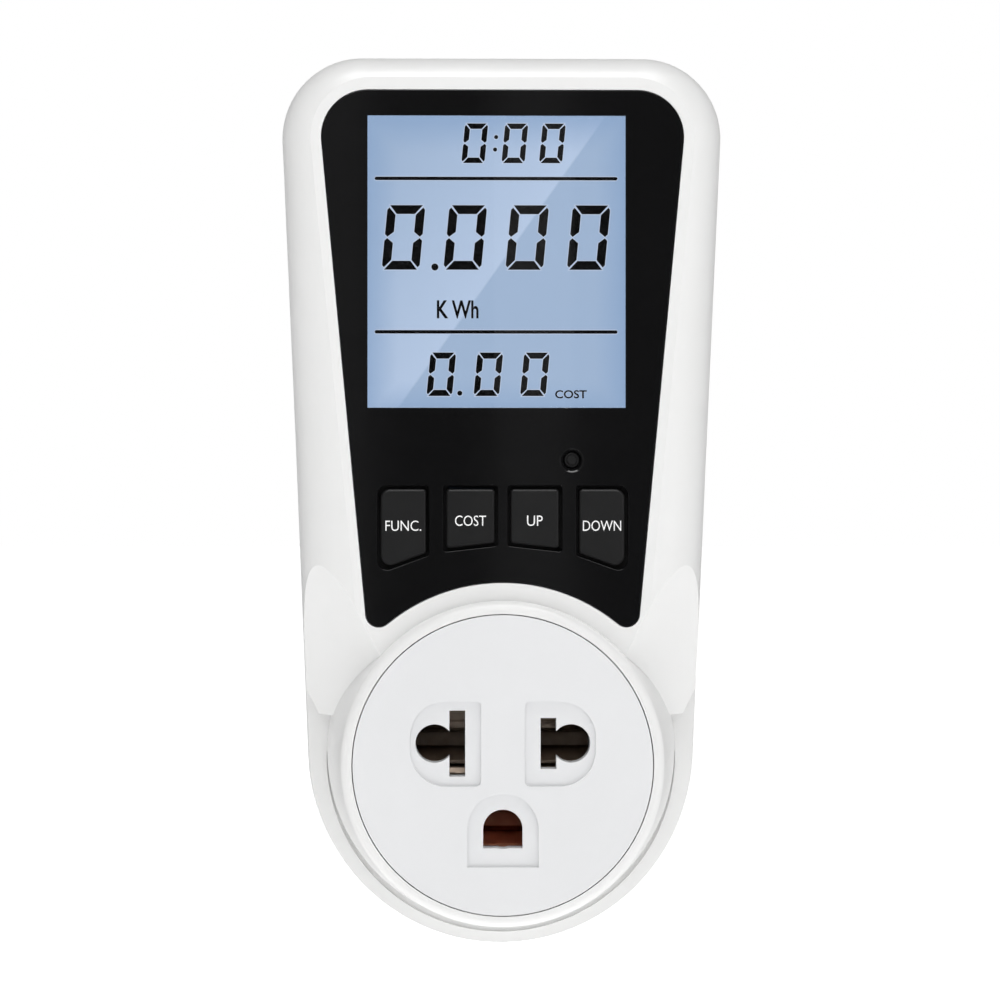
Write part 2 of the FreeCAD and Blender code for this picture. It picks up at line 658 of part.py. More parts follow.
power_bosses = [(f"power_{level}_{side}", x, z)
                for level, z in (("low", board_low + S.power_boss_above), ("high", S.power_boss_z))
                for side, x in sides(S.power_boss_x)]
plug_screw_places = []
for number, turn in enumerate(PLUG_SCREW_TURNS):
    place_x, place_z = around_disc(S.plug_radius + S.plug_screw_out, term(turn))
    plug_screw_places.append((f"plug_screw_{number}", place_x, place_z))

piece("rear_shell", rear_shell())
piece("rating_label", box("label_plate", (-S.label_half, S.label_half),
                          (S.back_depth + S.label_recess - S.label_thick, S.back_depth + S.label_recess),
                          (S.label_low, S.label_high)))


# ---------------------------------------------------------------- keys
def key_foot(x):
    """How high the key row's lower edge is at a distance from the middle."""
    return key_crown - (S.key_sweep - root(S.key_sweep * S.key_sweep - x * x))


def key_outline(near, far, side, grow):
    """A key's outline: upright sides, a level top and a foot that follows the ring."""
    near, far = near - grow, far + grow
    corners = [(near, key_foot(near) - grow), (far, key_foot(far) - grow), (far, key_high + grow),
               (near, key_high + grow)]
    if side < 0:
        corners = [(-x, z) for x, z in corners]
    return corners


KEYS = {
    "function": (S.outer_key_near, S.outer_key_far, -1, S.key_corner),
    "cost": (S.inner_key_near, S.inner_key_far, -1, S.key_edge),
    "up": (S.inner_key_near, S.inner_key_far, 1, S.key_edge),
    "down": (S.outer_key_near, S.outer_key_far, 1, S.key_corner),
}


def key_block(name, key, grow, depth):
    """A block of a key's outline, its outer corners rounder than its inner ones."""
    near, far, side, corner = KEYS[key]
    body = plate(name, key_outline(near, far, side, grow), depth)
    middle = (near.value + far.value) / 2
    soften(body, name + "_far_corners", corner,
           lambda edge: runs_in_depth(edge) and abs(edge.CenterOfMass.x) > middle)
    soften(body, name + "_near_corners", S.key_edge,
           lambda edge: runs_in_depth(edge) and abs(edge.CenterOfMass.x) < middle
           and edge.Length > abs(depth[1].value - depth[0].value) - 0.01)
    return body


key_front = S.plateau_depth - S.key_sink
flange_front = panel_back - S.key_slack
key_back = flange_front - S.key_flange_thick
switch_front = display_seat + S.switch_high
switch_floor = display_seat + S.switch_floor


def switch_pair(key, x, z):
    """The switch body on the board and the plunger that stands in it behind a key."""
    half = S.switch_side / 2
    housing = box(key + "_switch_block", (x - half, x + half), (display_seat, switch_front),
                  (z - half, z + half))
    well = rod(key + "_switch_well", x, z, (switch_floor, switch_front + 1), S.plunger_radius + S.plunger_gap)
    piece(key + "_switch", cut(key + "_switch_bored", housing, [well]))
    piece(key + "_plunger", rod(key + "_plunger_rod", x, z, (switch_floor + S.plunger_rest, key_back),
                                S.plunger_radius))


for key, (near, far, side, corner) in KEYS.items():
    cap = key_block(key + "_cap", key, term(0), (key_back, key_front))
    skirt = key_block(key + "_skirt", key, S.key_flange, (key_back, flange_front))
    piece(key + "_key", fuse(key + "_whole", [cap, skirt]))
    switch_pair(key, (near + far) / 2 * side, switch_z)

reset_front = S.plateau_depth - S.reset_sink
piece("reset_key", fuse("reset_whole", [
    rod("reset_cap", S.reset_x, reset_z, (key_back, reset_front), S.reset_key_radius),
    rod("reset_skirt", S.reset_x, reset_z, (key_back, flange_front), S.reset_flange)]))
switch_pair("reset", S.reset_x, reset_z)


# ---------------------------------------------------------------- black panel and window
def black_bezel():
    board = panel_plate("bezel_plate", term(0), (panel_back, S.plateau_depth))
    tools = [box("window_opening", (S.window_left, S.window_right), (panel_back - 1, S.plateau_depth + 1),
                 (window_low, window_high)),
             box("lens_rebate", (S.window_left - S.lens_lap, S.window_right + S.lens_lap),
                 (panel_back - 1, panel_back + S.lens_flange),
                 (window_low - S.lens_lap, window_high + S.lens_lap)),
             rod("reset_bore", S.reset_x, reset_z, (panel_back - 1, S.plateau_depth + 1), S.reset_hole),
             rod("reset_mouth", S.reset_x, reset_z,
                 (S.plateau_depth - (S.reset_mouth - S.reset_hole), S.plateau_depth), S.reset_hole,
                 S.reset_mouth)]
    through = (panel_back - 1, S.plateau_depth + 1)
    tools += [key_block(key + "_opening", key, S.key_gap, through) for key in KEYS]
    return cut("bezel_cut", board, tools)


piece("black_bezel", black_bezel())
gap = S.fit_gap
lap = S.lens_lap - gap
piece("window_lens", fuse("lens_whole", [
    box("lens_face", (S.window_left + gap, S.window_right - gap), (panel_back, S.plateau_depth - S.lens_sink),
        (window_low + gap, window_high - gap)),
    box("lens_edge", (S.window_left - lap, S.window_right + lap),
        (panel_back, panel_back + S.lens_flange - gap), (window_low - lap, window_high + lap))]))

# ---------------------------------------------------------------- display
lcd_x = (S.window_left - S.lens_lap, S.window_right + S.lens_lap)
lcd_z = (window_low - S.lens_lap * 2, window_high + S.lens_lap)
light_low = lcd_z[0] + S.zebra_thick + S.zebra_gap * 2
frame_front = lcd_back + S.frame_grip
piece("lcd_panel", box("lcd_glass", lcd_x, (lcd_back, lcd_front), lcd_z))
piece("backlight_panel", box("light_guide", lcd_x, (light_back, light_front), (light_low, lcd_z[1])))


def grown(span, amount):
    return span[0] - amount, span[1] + amount


frame_block = box("frame_block", grown(lcd_x, S.frame_wall), (display_seat, frame_front),
                  grown(lcd_z, S.frame_wall))
frame_pocket = box("frame_pocket", grown(lcd_x, gap), (light_back, frame_front + 1), grown(lcd_z, gap))
frame_hole = box("frame_hole", grown(lcd_x, -S.frame_ledge), (display_seat - 1, frame_front),
                 (lcd_z[0] - gap, lcd_z[1] - S.frame_ledge))
piece("lcd_frame", cut("frame_cut", frame_block, [frame_pocket, frame_hole]))
piece("zebra_connector", box("zebra_strip", grown(lcd_x, -S.frame_ledge - gap),
                             (display_seat, lcd_back),
                             (lcd_z[0] + S.zebra_gap, lcd_z[0] + S.zebra_gap + S.zebra_thick)))


def board_outline():
    """A circuit board's outline with its top corners cut off beside the case screws."""
    clip = S.board_corner
    return [(-board_half_low, board_low), (board_half_low, board_low),
            (board_half, board_high - clip), (board_half - clip, board_high),
            (clip - board_half, board_high), (-board_half, board_high - clip)]


def circuit_board(name, front, places):
    blank = plate(name + "_blank", board_outline(), (front - S.board_thick, front))
    holes = [rod(f"{name}_{place}_hole", x, z, (front - S.board_thick - 1, front + 1),
                 S.small_screw + S.screw_gap * 2) for place, x, z in places]
    return cut(name + "_drilled", blank, holes)


piece("display_board", circuit_board("display_board", display_seat, display_bosses))
piece("power_board", circuit_board("power_board", S.power_board_depth, power_bosses))
piece("display_board_screws", group("display_screw_set", [
    screw(name + "_screw", x, z, display_back, display_back + S.small_screw_long, SMALL_SCREW)
    for name, x, z in display_bosses]))
piece("power_board_screws", group("power_screw_set", [
    screw(name + "_screw", x, z, S.power_board_depth, S.power_board_depth - S.small_screw_long, SMALL_SCREW)
    for name, x, z in power_bosses]))
chip_half = S.chip_side / 2
piece("controller_chip", box("controller_block", (-chip_half, chip_half),
                             (display_back - S.chip_thick, display_back),
                             (S.chip_z - chip_half, S.chip_z + chip_half)))
battery_depth = display_back - S.battery_radius - S.battery_lift
piece("backup_battery", roller("battery_cell", "X", (-S.battery_half, battery_depth, S.battery_z),
                               S.battery_radius, S.battery_half * 2))


def battery_clip(name, side):
    """A leaf against one end of the battery with a foot on the display board."""
    inner = (S.battery_half + S.clip_gap) * side
    outer = (S.battery_half + S.clip_gap + S.clip_thick) * side
    foot = (S.battery_half + S.clip_gap + S.clip_half) * side
    up = (S.battery_z - S.clip_half, S.battery_z + S.clip_half)
    leaf = box(name + "_leaf", sorted((inner, outer), key=lambda place: place.value),
               (battery_depth - S.clip_half, display_back), up)
    tab = box(name + "_foot", sorted((inner, foot), key=lambda place: place.value),
              (display_back - S.clip_thick, display_back), up)
    return fuse(name, [leaf, tab])


piece("battery_clips", group("clip_pair", [battery_clip("clip_left", -1), battery_clip("clip_right", 1)]))


def board_link():
    """A strip of pins between the two boards in a plastic body."""
    body_depth = (S.power_board_depth + S.link_thick, display_back - S.link_thick)
    parts = [box("link_body", (S.link_x - S.link_thick / 2, S.link_x + S.link_thick / 2), body_depth,
                 (S.link_z - S.link_half, S.link_z + S.link_half))]
    pins = int(S.link_pins.value)
    for number in range(pins):
        z = S.link_z + S.link_pitch * (number - (pins - 1) / 2)
        parts.append(box(f"link_pin_{number}", (S.link_x - S.link_pin / 2, S.link_x + S.link_pin / 2),
                         (S.power_board_depth, display_back), (z - S.link_pin / 2, z + S.link_pin / 2)))
    return fuse("link_whole", parts)


piece("board_link", board_link())

# ---------------------------------------------------------------- power board parts
power_front = S.power_board_depth
piece("film_capacitor", box("film_block", (S.film_left, S.film_right),
                            (power_front, power_front + S.film_deep), (S.film_low, S.film_high)))
piece("electrolytic_capacitor", rod("can", S.can_x, S.can_z, (power_front, power_front + S.can_deep),
                                    S.can_radius))
varistor_depth = power_front + S.varistor_radius + S.clip_thick
piece("varistor", fuse("varistor_whole", [
    roller("varistor_disc", "X", (S.varistor_x, varistor_depth, S.varistor_z), S.varistor_radius,
           S.varistor_thick)]
    + [box(f"varistor_lead_{side}", (S.varistor_x + S.varistor_thick / 2 - S.fuse_lead,
                                     S.varistor_x + S.varistor_thick / 2 + S.fuse_lead),
           (power_front, varistor_depth), (z - S.fuse_lead, z + S.fuse_lead))
       for side, z in (("low", S.varistor_z - S.varistor_radius / 2),
                       ("high", S.varistor_z + S.varistor_radius / 2))]))
piece("metering_chip", box("meter_block", (S.meter_chip_x - S.meter_chip_long / 2,
                                           S.meter_chip_x + S.meter_chip_long / 2),
                           (power_front, power_front + S.chip_thick),
                           (S.meter_chip_z - S.meter_chip_wide / 2, S.meter_chip_z + S.meter_chip_wide / 2)))


def fusible_resistor():
    """An axial resistor on two bent leads."""
    depth = power_front + S.fuse_radius + S.clip_thick
    parts = [roller("fuse_body", "Z", (S.fuse_x, depth, S.fuse_z), S.fuse_radius, S.fuse_long)]
    for name, start in (("low", S.fuse_z - S.fuse_radius), ("high", S.fuse_z + S.fuse_long)):
        across = (S.fuse_x - S.fuse_lead, S.fuse_x + S.fuse_lead)
        parts.append(box(f"fuse_lead_{name}", across, (depth - S.fuse_lead, depth + S.fuse_lead),
                         (start, start + S.fuse_radius)))
        end = start if name == "low" else start + S.fuse_radius - S.fuse_lead * 2
        parts.append(box(f"fuse_leg_{name}", across, (power_front, depth), (end, end + S.fuse_lead * 2)))
    return fuse("fuse_whole", parts)


piece("fusible_resistor", fusible_resistor())


def current_shunt():
    """A bridge of resistance metal standing on the board."""
    up = (S.shunt_z - S.shunt_wide / 2, S.shunt_z + S.shunt_wide / 2)
    top = power_front + S.shunt_high
    return fuse("shunt_whole", [
        box("shunt_left_leg", (S.shunt_left, S.shunt_left + S.shunt_thick), (power_front, top), up),
        box("shunt_right_leg", (S.shunt_right - S.shunt_thick, S.shunt_right), (power_front, top), up),
        box("shunt_bridge", (S.shunt_left, S.shunt_right), (top - S.shunt_thick, top), up)])


piece("current_shunt", current_shunt())


# ---------------------------------------------------------------- socket
def earth_arch(name, half, top, low, depth):
    """An upright block with a half-round top."""
    middle = top - half
    return fuse(name, [rod(name + "_crown", 0, middle, depth, half),
                       box(name + "_leg", (-half, half), depth, (low, middle))])


def pocket(name, side, depth):
    """The shallow recess round one pair of holes, round on its outer side."""
    near, far = S.pocket_near * side, S.pocket_left * side
    body = plate(name, [(near, -S.pocket_half), (far, -S.pocket_half), (far, S.pocket_half),
                        (near, S.pocket_half)], depth)
    middle = abs(near.value + far.value) / 2
    soften(body, name + "_outer", S.pocket_big,
           lambda edge: runs_in_depth(edge) and abs(edge.CenterOfMass.x) > middle)
    soften(body, name + "_inner", S.pocket_small,
           lambda edge: runs_in_depth(edge) and abs(edge.CenterOfMass.x) < S.pocket_near.value + 0.1)
    return body


earth_z = -S.earth_drop
earth_top = earth_z + S.earth_hole_high / 2
earth_low = earth_z - S.earth_hole_high / 2


def socket_face():
    disc = rod("disc_blank", 0, S.disc_z, (disc_back, ring_depth), S.disc_radius)
    through = (disc_back - 1, ring_depth + 1)
    pocket_depth = (ring_depth - S.pocket_deep, ring_depth + 1)
    tools = [earth_arch("earth_hole", S.earth_hole_wide / 2, earth_top, earth_low, through),
             earth_arch("earth_pocket", S.earth_pocket_half, -S.earth_pocket_top, S.earth_pocket_low,
                        pocket_depth)]
    for name, side, tall in (("neutral", -1, S.neutral_slot), ("line", 1, S.line_slot)):
        slot_x = S.blade_half_pitch * side
        tools.append(rod(name + "_round_hole", S.pin_half_pitch * side, 0, through, S.round_hole))
        tools.append(box(name + "_slot", (slot_x - S.slot_wide / 2, slot_x + S.slot_wide / 2), through,
                         (-tall / 2, tall / 2)))
        tools.append(pocket(name + "_pocket", side, pocket_depth))
    return cut("disc_cut", disc, tools)


piece("socket_face", socket_face())
carrier_front = disc_back - S.carrier_gap
well_floor = carrier_back + S.carrier_floor
leaf_start = well_floor + S.contact_back
base_front = leaf_start + S.leaf_thick


def contact_carrier():
    blank = [rod("carrier_drum", 0, S.disc_z, (carrier_back, carrier_front), S.disc_radius - S.carrier_inset)]
    for name, x, z in ears:
        blank.append(rod(name + "_lug", x, z, (carrier_back, carrier_back + S.ear_thick - S.screw_gap),
                         S.ear_radius))
        blank.append(box(name + "_web", sorted((x, x * 0.8), key=lambda place: place.value),
                         (carrier_back, carrier_back + S.ear_thick - S.screw_gap),
                         (z - S.ear_radius, z + S.ear_radius / 2)))
    front = (well_floor, carrier_front + 1)
    tail = (carrier_back - 1, front[1])
    tools = []
    for name, side in (("neutral", -1), ("line", 1)):
        across = sorted((S.well_near * side, S.well_far * side), key=lambda place: place.value)
        tools.append(box(name + "_well", across, front, (-S.well_half, S.well_half)))
        tail_x = contact_x * side
        tools.append(box(name + "_tail_slot", grown((tail_x, tail_x), S.tail_wide / 2 + S.plug_gap), tail,
                         grown((S.tail_low, S.tail_low + S.bar_thick), S.plug_gap)))
    tools.append(box("earth_well", (-S.earth_well_half, S.earth_well_half), front,
                     (S.earth_well_low, S.earth_well_high)))
    tools.append(box("earth_tail_slot", grown((term(0), term(0)), S.tail_wide / 2 + S.plug_gap), tail,
                     grown((earth_tail, earth_tail + S.bar_thick), S.plug_gap)))
    tools += [rod(name + "_lug_hole", x, z, (carrier_back - 1, carrier_back + S.ear_thick + 1),
                  S.small_screw + S.screw_gap * 2) for name, x, z in ears]
    return cut("carrier_cut", fuse("carrier_blank", blank), tools)


earth_tail = S.earth_well_high - S.bar_thick - S.clip_thick
contact_x = (S.well_far + S.well_near) / 2
piece("contact_carrier", contact_carrier())


def contact(name, x, half_wide, z, tail_z, tail_end):
    """A folded contact: a base, two sprung leaves above and below the pin and a tail through the carrier."""
    across = (x - half_wide, x + half_wide)
    reach = S.leaf_gap + S.leaf_thick
    parts = [box(name + "_base", across, (leaf_start, base_front), (z - reach, z + reach)),
             box(name + "_tail", (x - S.tail_wide / 2, x + S.tail_wide / 2), (tail_end, base_front),
                 (tail_z, tail_z + S.bar_thick))]
    leaf_depth = (leaf_start, disc_back - S.leaf_sink)
    for side, low in (("upper", z + S.leaf_gap), ("lower", z - reach)):
        parts.append(box(f"{name}_{side}_leaf", across, leaf_depth, (low, low + S.leaf_thick)))
    if tail_z.value > (z + reach).value:
        parts.append(box(name + "_link", (x - S.tail_wide / 2, x + S.tail_wide / 2), (leaf_start, base_front),
                         (z, tail_z + S.bar_thick)))
    return fuse(name + "_folded", parts)


bar_front = S.small_head_high + S.back_depth + S.back_wall + S.plug_flange_thick + S.bar_thick
bar_back = bar_front - S.bar_thick
contact_half = (S.well_far - S.well_near) / 2 - S.plug_gap
earth_leaf = S.earth_well_half - S.plug_gap
piece("neutral_contact", contact("neutral_contact", -contact_x, contact_half, term(0), S.tail_low, bar_front))
piece("line_contact", contact("line_contact", contact_x, contact_half, term(0), S.tail_low, S.strap_depth
                              + S.bar_thick))
piece("earth_contact", contact("earth_contact", term(0), earth_leaf, earth_z, earth_tail, bar_front))
piece("socket_screws", group("socket_screw_set", [
    screw(name + "_screw", x, z, carrier_back, carrier_back + S.ear_thick + S.small_screw_long, SMALL_SCREW)
    for name, x, z in ears]))

# ---------------------------------------------------------------- plug
flange_back = S.back_depth + S.back_wall
plug_inside = flange_back + S.plug_flange_thick


def plug_base():
    rim = S.plug_radius + S.flange_wide
    blank = fuse("plug_blank", [rod("plug_disc", 0, S.disc_z, (term(0), plug_inside), S.plug_radius),
                                rod("plug_rim", 0, S.disc_z, (flange_back, plug_inside), rim)])
    through = (term(-1), plug_inside + 1)
    seat = (term(-1), S.sleeve_seat + S.pin_gap)
    tools = []
    for name, x in sides(S.pin_half_pitch):
        tools.append(rod(name + "_bore", x, 0, through, S.core_radius + S.pin_gap))
        tools.append(rod(name + "_sleeve_bore", x, 0, seat, sleeve_radius + S.pin_gap))
    tools.append(rod("earth_bore", 0, earth_z, through, S.core_radius + S.pin_gap))
    tools.append(rod("earth_collar_bore", 0, earth_z, seat, S.collar_radius + S.pin_gap))
    tools += [rod(name + "_flange_hole", x, z, (flange_back - 1, plug_inside + 1),
                  S.plug_screw + S.screw_gap * 2) for name, x, z in plug_screw_places]
    tools += [rod(name + "_notch", x, z, (flange_back - 1, plug_inside + 1),
                  S.low_boss + S.shell_wall / 2 + S.plug_gap) for name, x, z in case_lows]
    return cut("plug_cut", blank, tools)


sleeve_radius = S.pin_radius - S.sleeve_step
piece("plug_base", plug_base())
head_front = plug_inside + S.pin_head_high
for name, x in (("neutral", -S.pin_half_pitch), ("line", S.pin_half_pitch)):
    tip = rounded(name + "_nose", rod(name + "_tip", x, 0, (-S.pin_long, -S.sleeve_long), S.pin_radius),
                  S.pin_nose, lambda edge: lies_at(edge, -S.pin_long))
    piece(name + "_pin", fuse(name + "_pin_whole", [
        tip, rod(name + "_core", x, 0, (-S.sleeve_long, head_front), S.core_radius),
        rod(name + "_head", x, 0, (plug_inside, head_front), S.pin_head)]))
    tube = rod(name + "_tube", x, 0, (-S.sleeve_long, S.sleeve_seat), sleeve_radius)
    bore = rod(name + "_tube_bore", x, 0, (-S.sleeve_long - 1, S.sleeve_seat + 1), S.core_radius + S.pin_gap)
    piece(name + "_pin_sleeve", cut(name + "_sleeve_cut", tube, [bore]))
earth_bar = rounded("earth_nose", rod("earth_shank", 0, earth_z, (-S.earth_pin_long, term(0)), S.pin_radius),
                    S.pin_nose, lambda edge: lies_at(edge, -S.earth_pin_long))
piece("earth_pin", fuse("earth_pin_whole", [
    earth_bar, rod("earth_collar", 0, earth_z, (term(0), S.sleeve_seat), S.collar_radius),
    rod("earth_core", 0, earth_z, (S.sleeve_seat, head_front), S.core_radius),
    rod("earth_head", 0, earth_z, (plug_inside, head_front), S.pin_head)]))
piece("plug_screws", group("plug_screw_set", [
    screw(name, x, z, plug_inside, flange_back - S.back_wall / 2, PLUG_SCREW)
    for name, x, z in plug_screw_places]))
piece("case_screws", group("case_screw_set", [
    screw(name + "_screw", x, z, flange_back + S.case_head_high, case_screw_front, CASE_SCREW)
    for name, x, z in case_tops + case_lows]))

# ---------------------------------------------------------------- conductors between plug, board and socket
bar_half = S.bar_wide / 2


def busbar(name, x, low, high):
    """A flat bar on a pin's head, upwards behind the power board."""
    return box(name, (x - bar_half, x + bar_half), (head_front, head_front + S.bar_thick), (low, high))


piece("neutral_busbar", busbar("neutral_bar", -S.pin_half_pitch, -bar_half, S.bar_top))
piece("line_busbar", busbar("line_bar", S.pin_half_pitch, -bar_half, S.bar_top))
piece("earth_busbar", busbar("earth_bar", term(0), earth_z - bar_half, earth_tail + bar_half))
strap_x = (S.pin_half_pitch - bar_half, S.pin_half_pitch + bar_half)
piece("line_strap", fuse("strap_whole", [
    box("strap_run", strap_x, (S.strap_depth, S.strap_depth + S.bar_thick), (S.tail_low, S.bar_top)),
    box("strap_foot", strap_x, (power_front, S.strap_depth + S.bar_thick),
        (S.bar_top - S.bar_thick, S.bar_top))]))

# ---------------------------------------------------------------- check and write
doc.recompute()
failed = [item.Name for item in doc.Objects if "Invalid" in item.State or "Error" in item.State]
for item in PIECES:
    if item.Shape.isNull() or not item.Shape.isValid() or not item.Shape.Solids:
        failed.append(item.Label)
if failed:
    raise RuntimeError(f"failed: {failed}")
os.makedirs("parts", exist_ok=True)
for item in PIECES:
    item.Shape.exportStep(f"parts/{item.Label}.step")
print(len(PIECES), "pieces written")
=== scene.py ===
"""Looks for a plug in power meter: white case, glossy black panel, backlit display, keys, socket and plug."""
import json
import logging
import math
from collections.abc import Callable
from dataclasses import dataclass
from enum import Enum

import bmesh
import bpy
from mathutils import Matrix, Vector


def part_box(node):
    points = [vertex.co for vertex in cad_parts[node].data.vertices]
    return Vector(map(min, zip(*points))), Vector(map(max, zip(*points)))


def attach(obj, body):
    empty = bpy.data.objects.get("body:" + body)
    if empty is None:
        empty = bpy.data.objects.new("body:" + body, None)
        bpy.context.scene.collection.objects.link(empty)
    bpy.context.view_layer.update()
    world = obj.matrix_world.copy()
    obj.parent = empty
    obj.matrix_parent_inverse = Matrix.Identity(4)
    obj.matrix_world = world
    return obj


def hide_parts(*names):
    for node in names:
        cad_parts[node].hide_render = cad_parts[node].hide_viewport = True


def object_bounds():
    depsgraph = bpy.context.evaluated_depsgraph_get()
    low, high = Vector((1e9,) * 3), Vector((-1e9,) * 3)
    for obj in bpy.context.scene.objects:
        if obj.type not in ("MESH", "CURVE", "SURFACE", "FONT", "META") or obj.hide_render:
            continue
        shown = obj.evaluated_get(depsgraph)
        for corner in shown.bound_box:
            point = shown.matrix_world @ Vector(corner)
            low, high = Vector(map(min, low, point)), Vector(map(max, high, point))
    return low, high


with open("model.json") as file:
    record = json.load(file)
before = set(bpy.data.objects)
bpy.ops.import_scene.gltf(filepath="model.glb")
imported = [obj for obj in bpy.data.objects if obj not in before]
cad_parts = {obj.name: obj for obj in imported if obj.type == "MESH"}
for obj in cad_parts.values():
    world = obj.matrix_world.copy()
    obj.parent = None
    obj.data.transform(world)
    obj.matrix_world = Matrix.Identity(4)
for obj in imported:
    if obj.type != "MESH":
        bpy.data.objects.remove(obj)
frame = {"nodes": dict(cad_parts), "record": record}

CAD_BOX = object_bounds()
MM = 0.001
LOG = logging.getLogger("power_meter")
Colour = tuple[float, float, float]
Point = tuple[float, float]
WHITE = (1, 1, 1, 1)
MIDDLE_TONES = (0.3, 0.7)
MIX_FIRST, MIX_SECOND, MIX_RESULT = 6, 7, 2
MERGE = 2.0e-6
LEVEL = 1.0e-5
LETTER_MERGE = 1.0e-7
FLAT_ANGLE = math.radians(0.3)
SMOOTH_ANGLE = math.radians(38)
SHARP_ANGLE = math.radians(40)
NORMAL_WEIGHT = 70


def shade(red: int, green: int, blue: int) -> Colour:
    """A colour from a swatch card's three numbers, 0 to 255, as light, by the sRGB curve.

    Args:
        red: the swatch's red.
        green: the swatch's green.
        blue: the swatch's blue.

    Returns:
        The linear colour.
    """
    parts = [number / 255 for number in (red, green, blue)]
    return tuple(part / 12.92 if part <= 0.04045 else ((part + 0.055) / 1.055) ** 2.4 for part in parts)


# ---------------------------------------------------------------- finishes
class Weave:
    """Shorthand for wiring one material's node tree."""

    def __init__(self, name: str) -> None:
        """Makes a material with a Principled shader.

        Args:
            name: the material's name.
        """
        self.material = bpy.data.materials.new(name)
        self.material.use_nodes = True
        self.tree = self.material.node_tree
        self.shader = self.tree.nodes["Principled BSDF"]
        self.place = self.node("ShaderNodeTexCoord").outputs["Object"]

    def node(self, kind: str, **settings: object) -> bpy.types.Node:
        """Adds a node and sets its properties.

        Args:
            kind: the node's type.
            **settings: its properties and their values.

        Returns:
            The new node.
        """
        made = self.tree.nodes.new(kind)
        for name, value in settings.items():
            setattr(made, name, value)
        return made

    def feed(self, value: object, socket: bpy.types.NodeSocket) -> None:
        """Links a socket, or sets a plain value.

        Args:
            value: the socket to link from, or the value.
            socket: the input that takes it.
        """
        if isinstance(value, bpy.types.NodeSocket):
            self.tree.links.new(value, socket)
        else:
            socket.default_value = value

    def mapped(self, scale: Colour = (1, 1, 1), offset: Colour = (0, 0, 0)) -> bpy.types.NodeSocket:
        """The place on the piece, scaled and then moved.

        Args:
            scale: the scale of each axis.
            offset: how far it is moved after that.

        Returns:
            The place's vector socket.
        """
        mapping = self.node("ShaderNodeMapping")
        mapping.inputs["Scale"].default_value = scale
        mapping.inputs["Location"].default_value = offset
        self.feed(self.place, mapping.inputs["Vector"])
        return mapping.outputs["Vector"]

    def noise(self, scale: float, detail: float = 3.0, stretch: Colour = (1, 1, 1)) -> bpy.types.NodeSocket:
        """A noise pattern over the surface.

        Args:
            scale: how many features to a metre.
            detail: the noise's octaves.
            stretch: scale of each axis, for brushed or drawn surfaces.

        Returns:
            The noise's value socket.
        """
        noise = self.node("ShaderNodeTexNoise")
        noise.inputs["Scale"].default_value = scale
        noise.inputs["Detail"].default_value = detail
        self.feed(self.mapped(stretch), noise.inputs["Vector"])
        return noise.outputs["Fac"]

    def patchy(self, scale: float, smooth: float, rough: float, detail: float = 3.0,
               stretch: Colour = (1, 1, 1)) -> bpy.types.NodeSocket:
        """A roughness that wanders between two values.

        Args:
            scale: how many patches to a metre.
            smooth: the roughness of the smoothest patches.
            rough: the roughness of the roughest.
            detail: the noise's octaves.
            stretch: scale of each axis.

        Returns:
            The roughness's value socket.
        """
        return self.span(self.noise(scale, detail, stretch), MIDDLE_TONES, (smooth, rough))

    def stripes(self, scale: float, axis: str) -> bpy.types.NodeSocket:
        """Bands across an axis.

        Args:
            scale: how many bands to a metre.
            axis: X, Y or Z.

        Returns:
            The bands' value socket.
        """
        wave = self.node("ShaderNodeTexWave", bands_direction=axis)
        wave.inputs["Scale"].default_value = scale / math.tau * 2
        self.feed(self.place, wave.inputs["Vector"])
        return wave.outputs["Fac"]

    def span(self, value: bpy.types.NodeSocket, start: Point, end: Point) -> bpy.types.NodeSocket:
        """Maps one range of numbers to another, held at its ends.

        Args:
            value: the numbers' socket.
            start: the range that they come from.
            end: the range that they go to.

        Returns:
            The mapped value's socket.
        """
        spread = self.node("ShaderNodeMapRange")
        for name, number in zip(("From Min", "From Max", "To Min", "To Max"), (*start, *end)):
            spread.inputs[name].default_value = number
        self.feed(value, spread.inputs["Value"])
        return spread.outputs["Result"]

    def sums(self, kind: str, first: object, second: object = 0.0) -> bpy.types.NodeSocket:
        """One step of arithmetic on sockets or numbers.

        Args:
            kind: the operation.
            first: its first socket or number.
            second: its second, where it has one.

        Returns:
            The result's socket.
        """
        step = self.node("ShaderNodeMath", operation=kind)
        self.feed(first, step.inputs[0])
        self.feed(second, step.inputs[1])
        return step.outputs["Value"]

    def tint(self, value: bpy.types.NodeSocket, first: Colour, second: Colour,
             reach: Point = MIDDLE_TONES) -> bpy.types.NodeSocket:
        """Blends two colours by a pattern.

        Args:
            value: the pattern's socket.
            first: the colour where the pattern is low.
            second: the colour where it is high.
            reach: the pattern's two values between which they blend.

        Returns:
            The colour's socket.
        """
        ramp = self.node("ShaderNodeValToRGB")
        for element, position, colour in zip(ramp.color_ramp.elements, reach, (first, second)):
            element.position = position
            element.color = (*colour, 1.0)
        self.feed(value, ramp.inputs["Fac"])
        return ramp.outputs["Color"]

    def bump(self, height: bpy.types.NodeSocket, depth: float, edge: float = 0.0) -> None:
        """Raises a pattern on the surface.

        Args:
            height: the pattern's socket.
            depth: how high it stands in metres.
            edge: how far the piece's corners look rounded in metres.
        """
        bump = self.node("ShaderNodeBump")
        bump.inputs["Strength"].default_value = 1.0
        bump.inputs["Distance"].default_value = depth
        self.feed(height, bump.inputs["Height"])
        if edge > 0:
            corner = self.node("ShaderNodeBevel", samples=4)
            corner.inputs["Radius"].default_value = edge
            self.feed(corner.outputs["Normal"], bump.inputs["Normal"])
        self.feed(bump.outputs["Normal"], self.shader.inputs["Normal"])

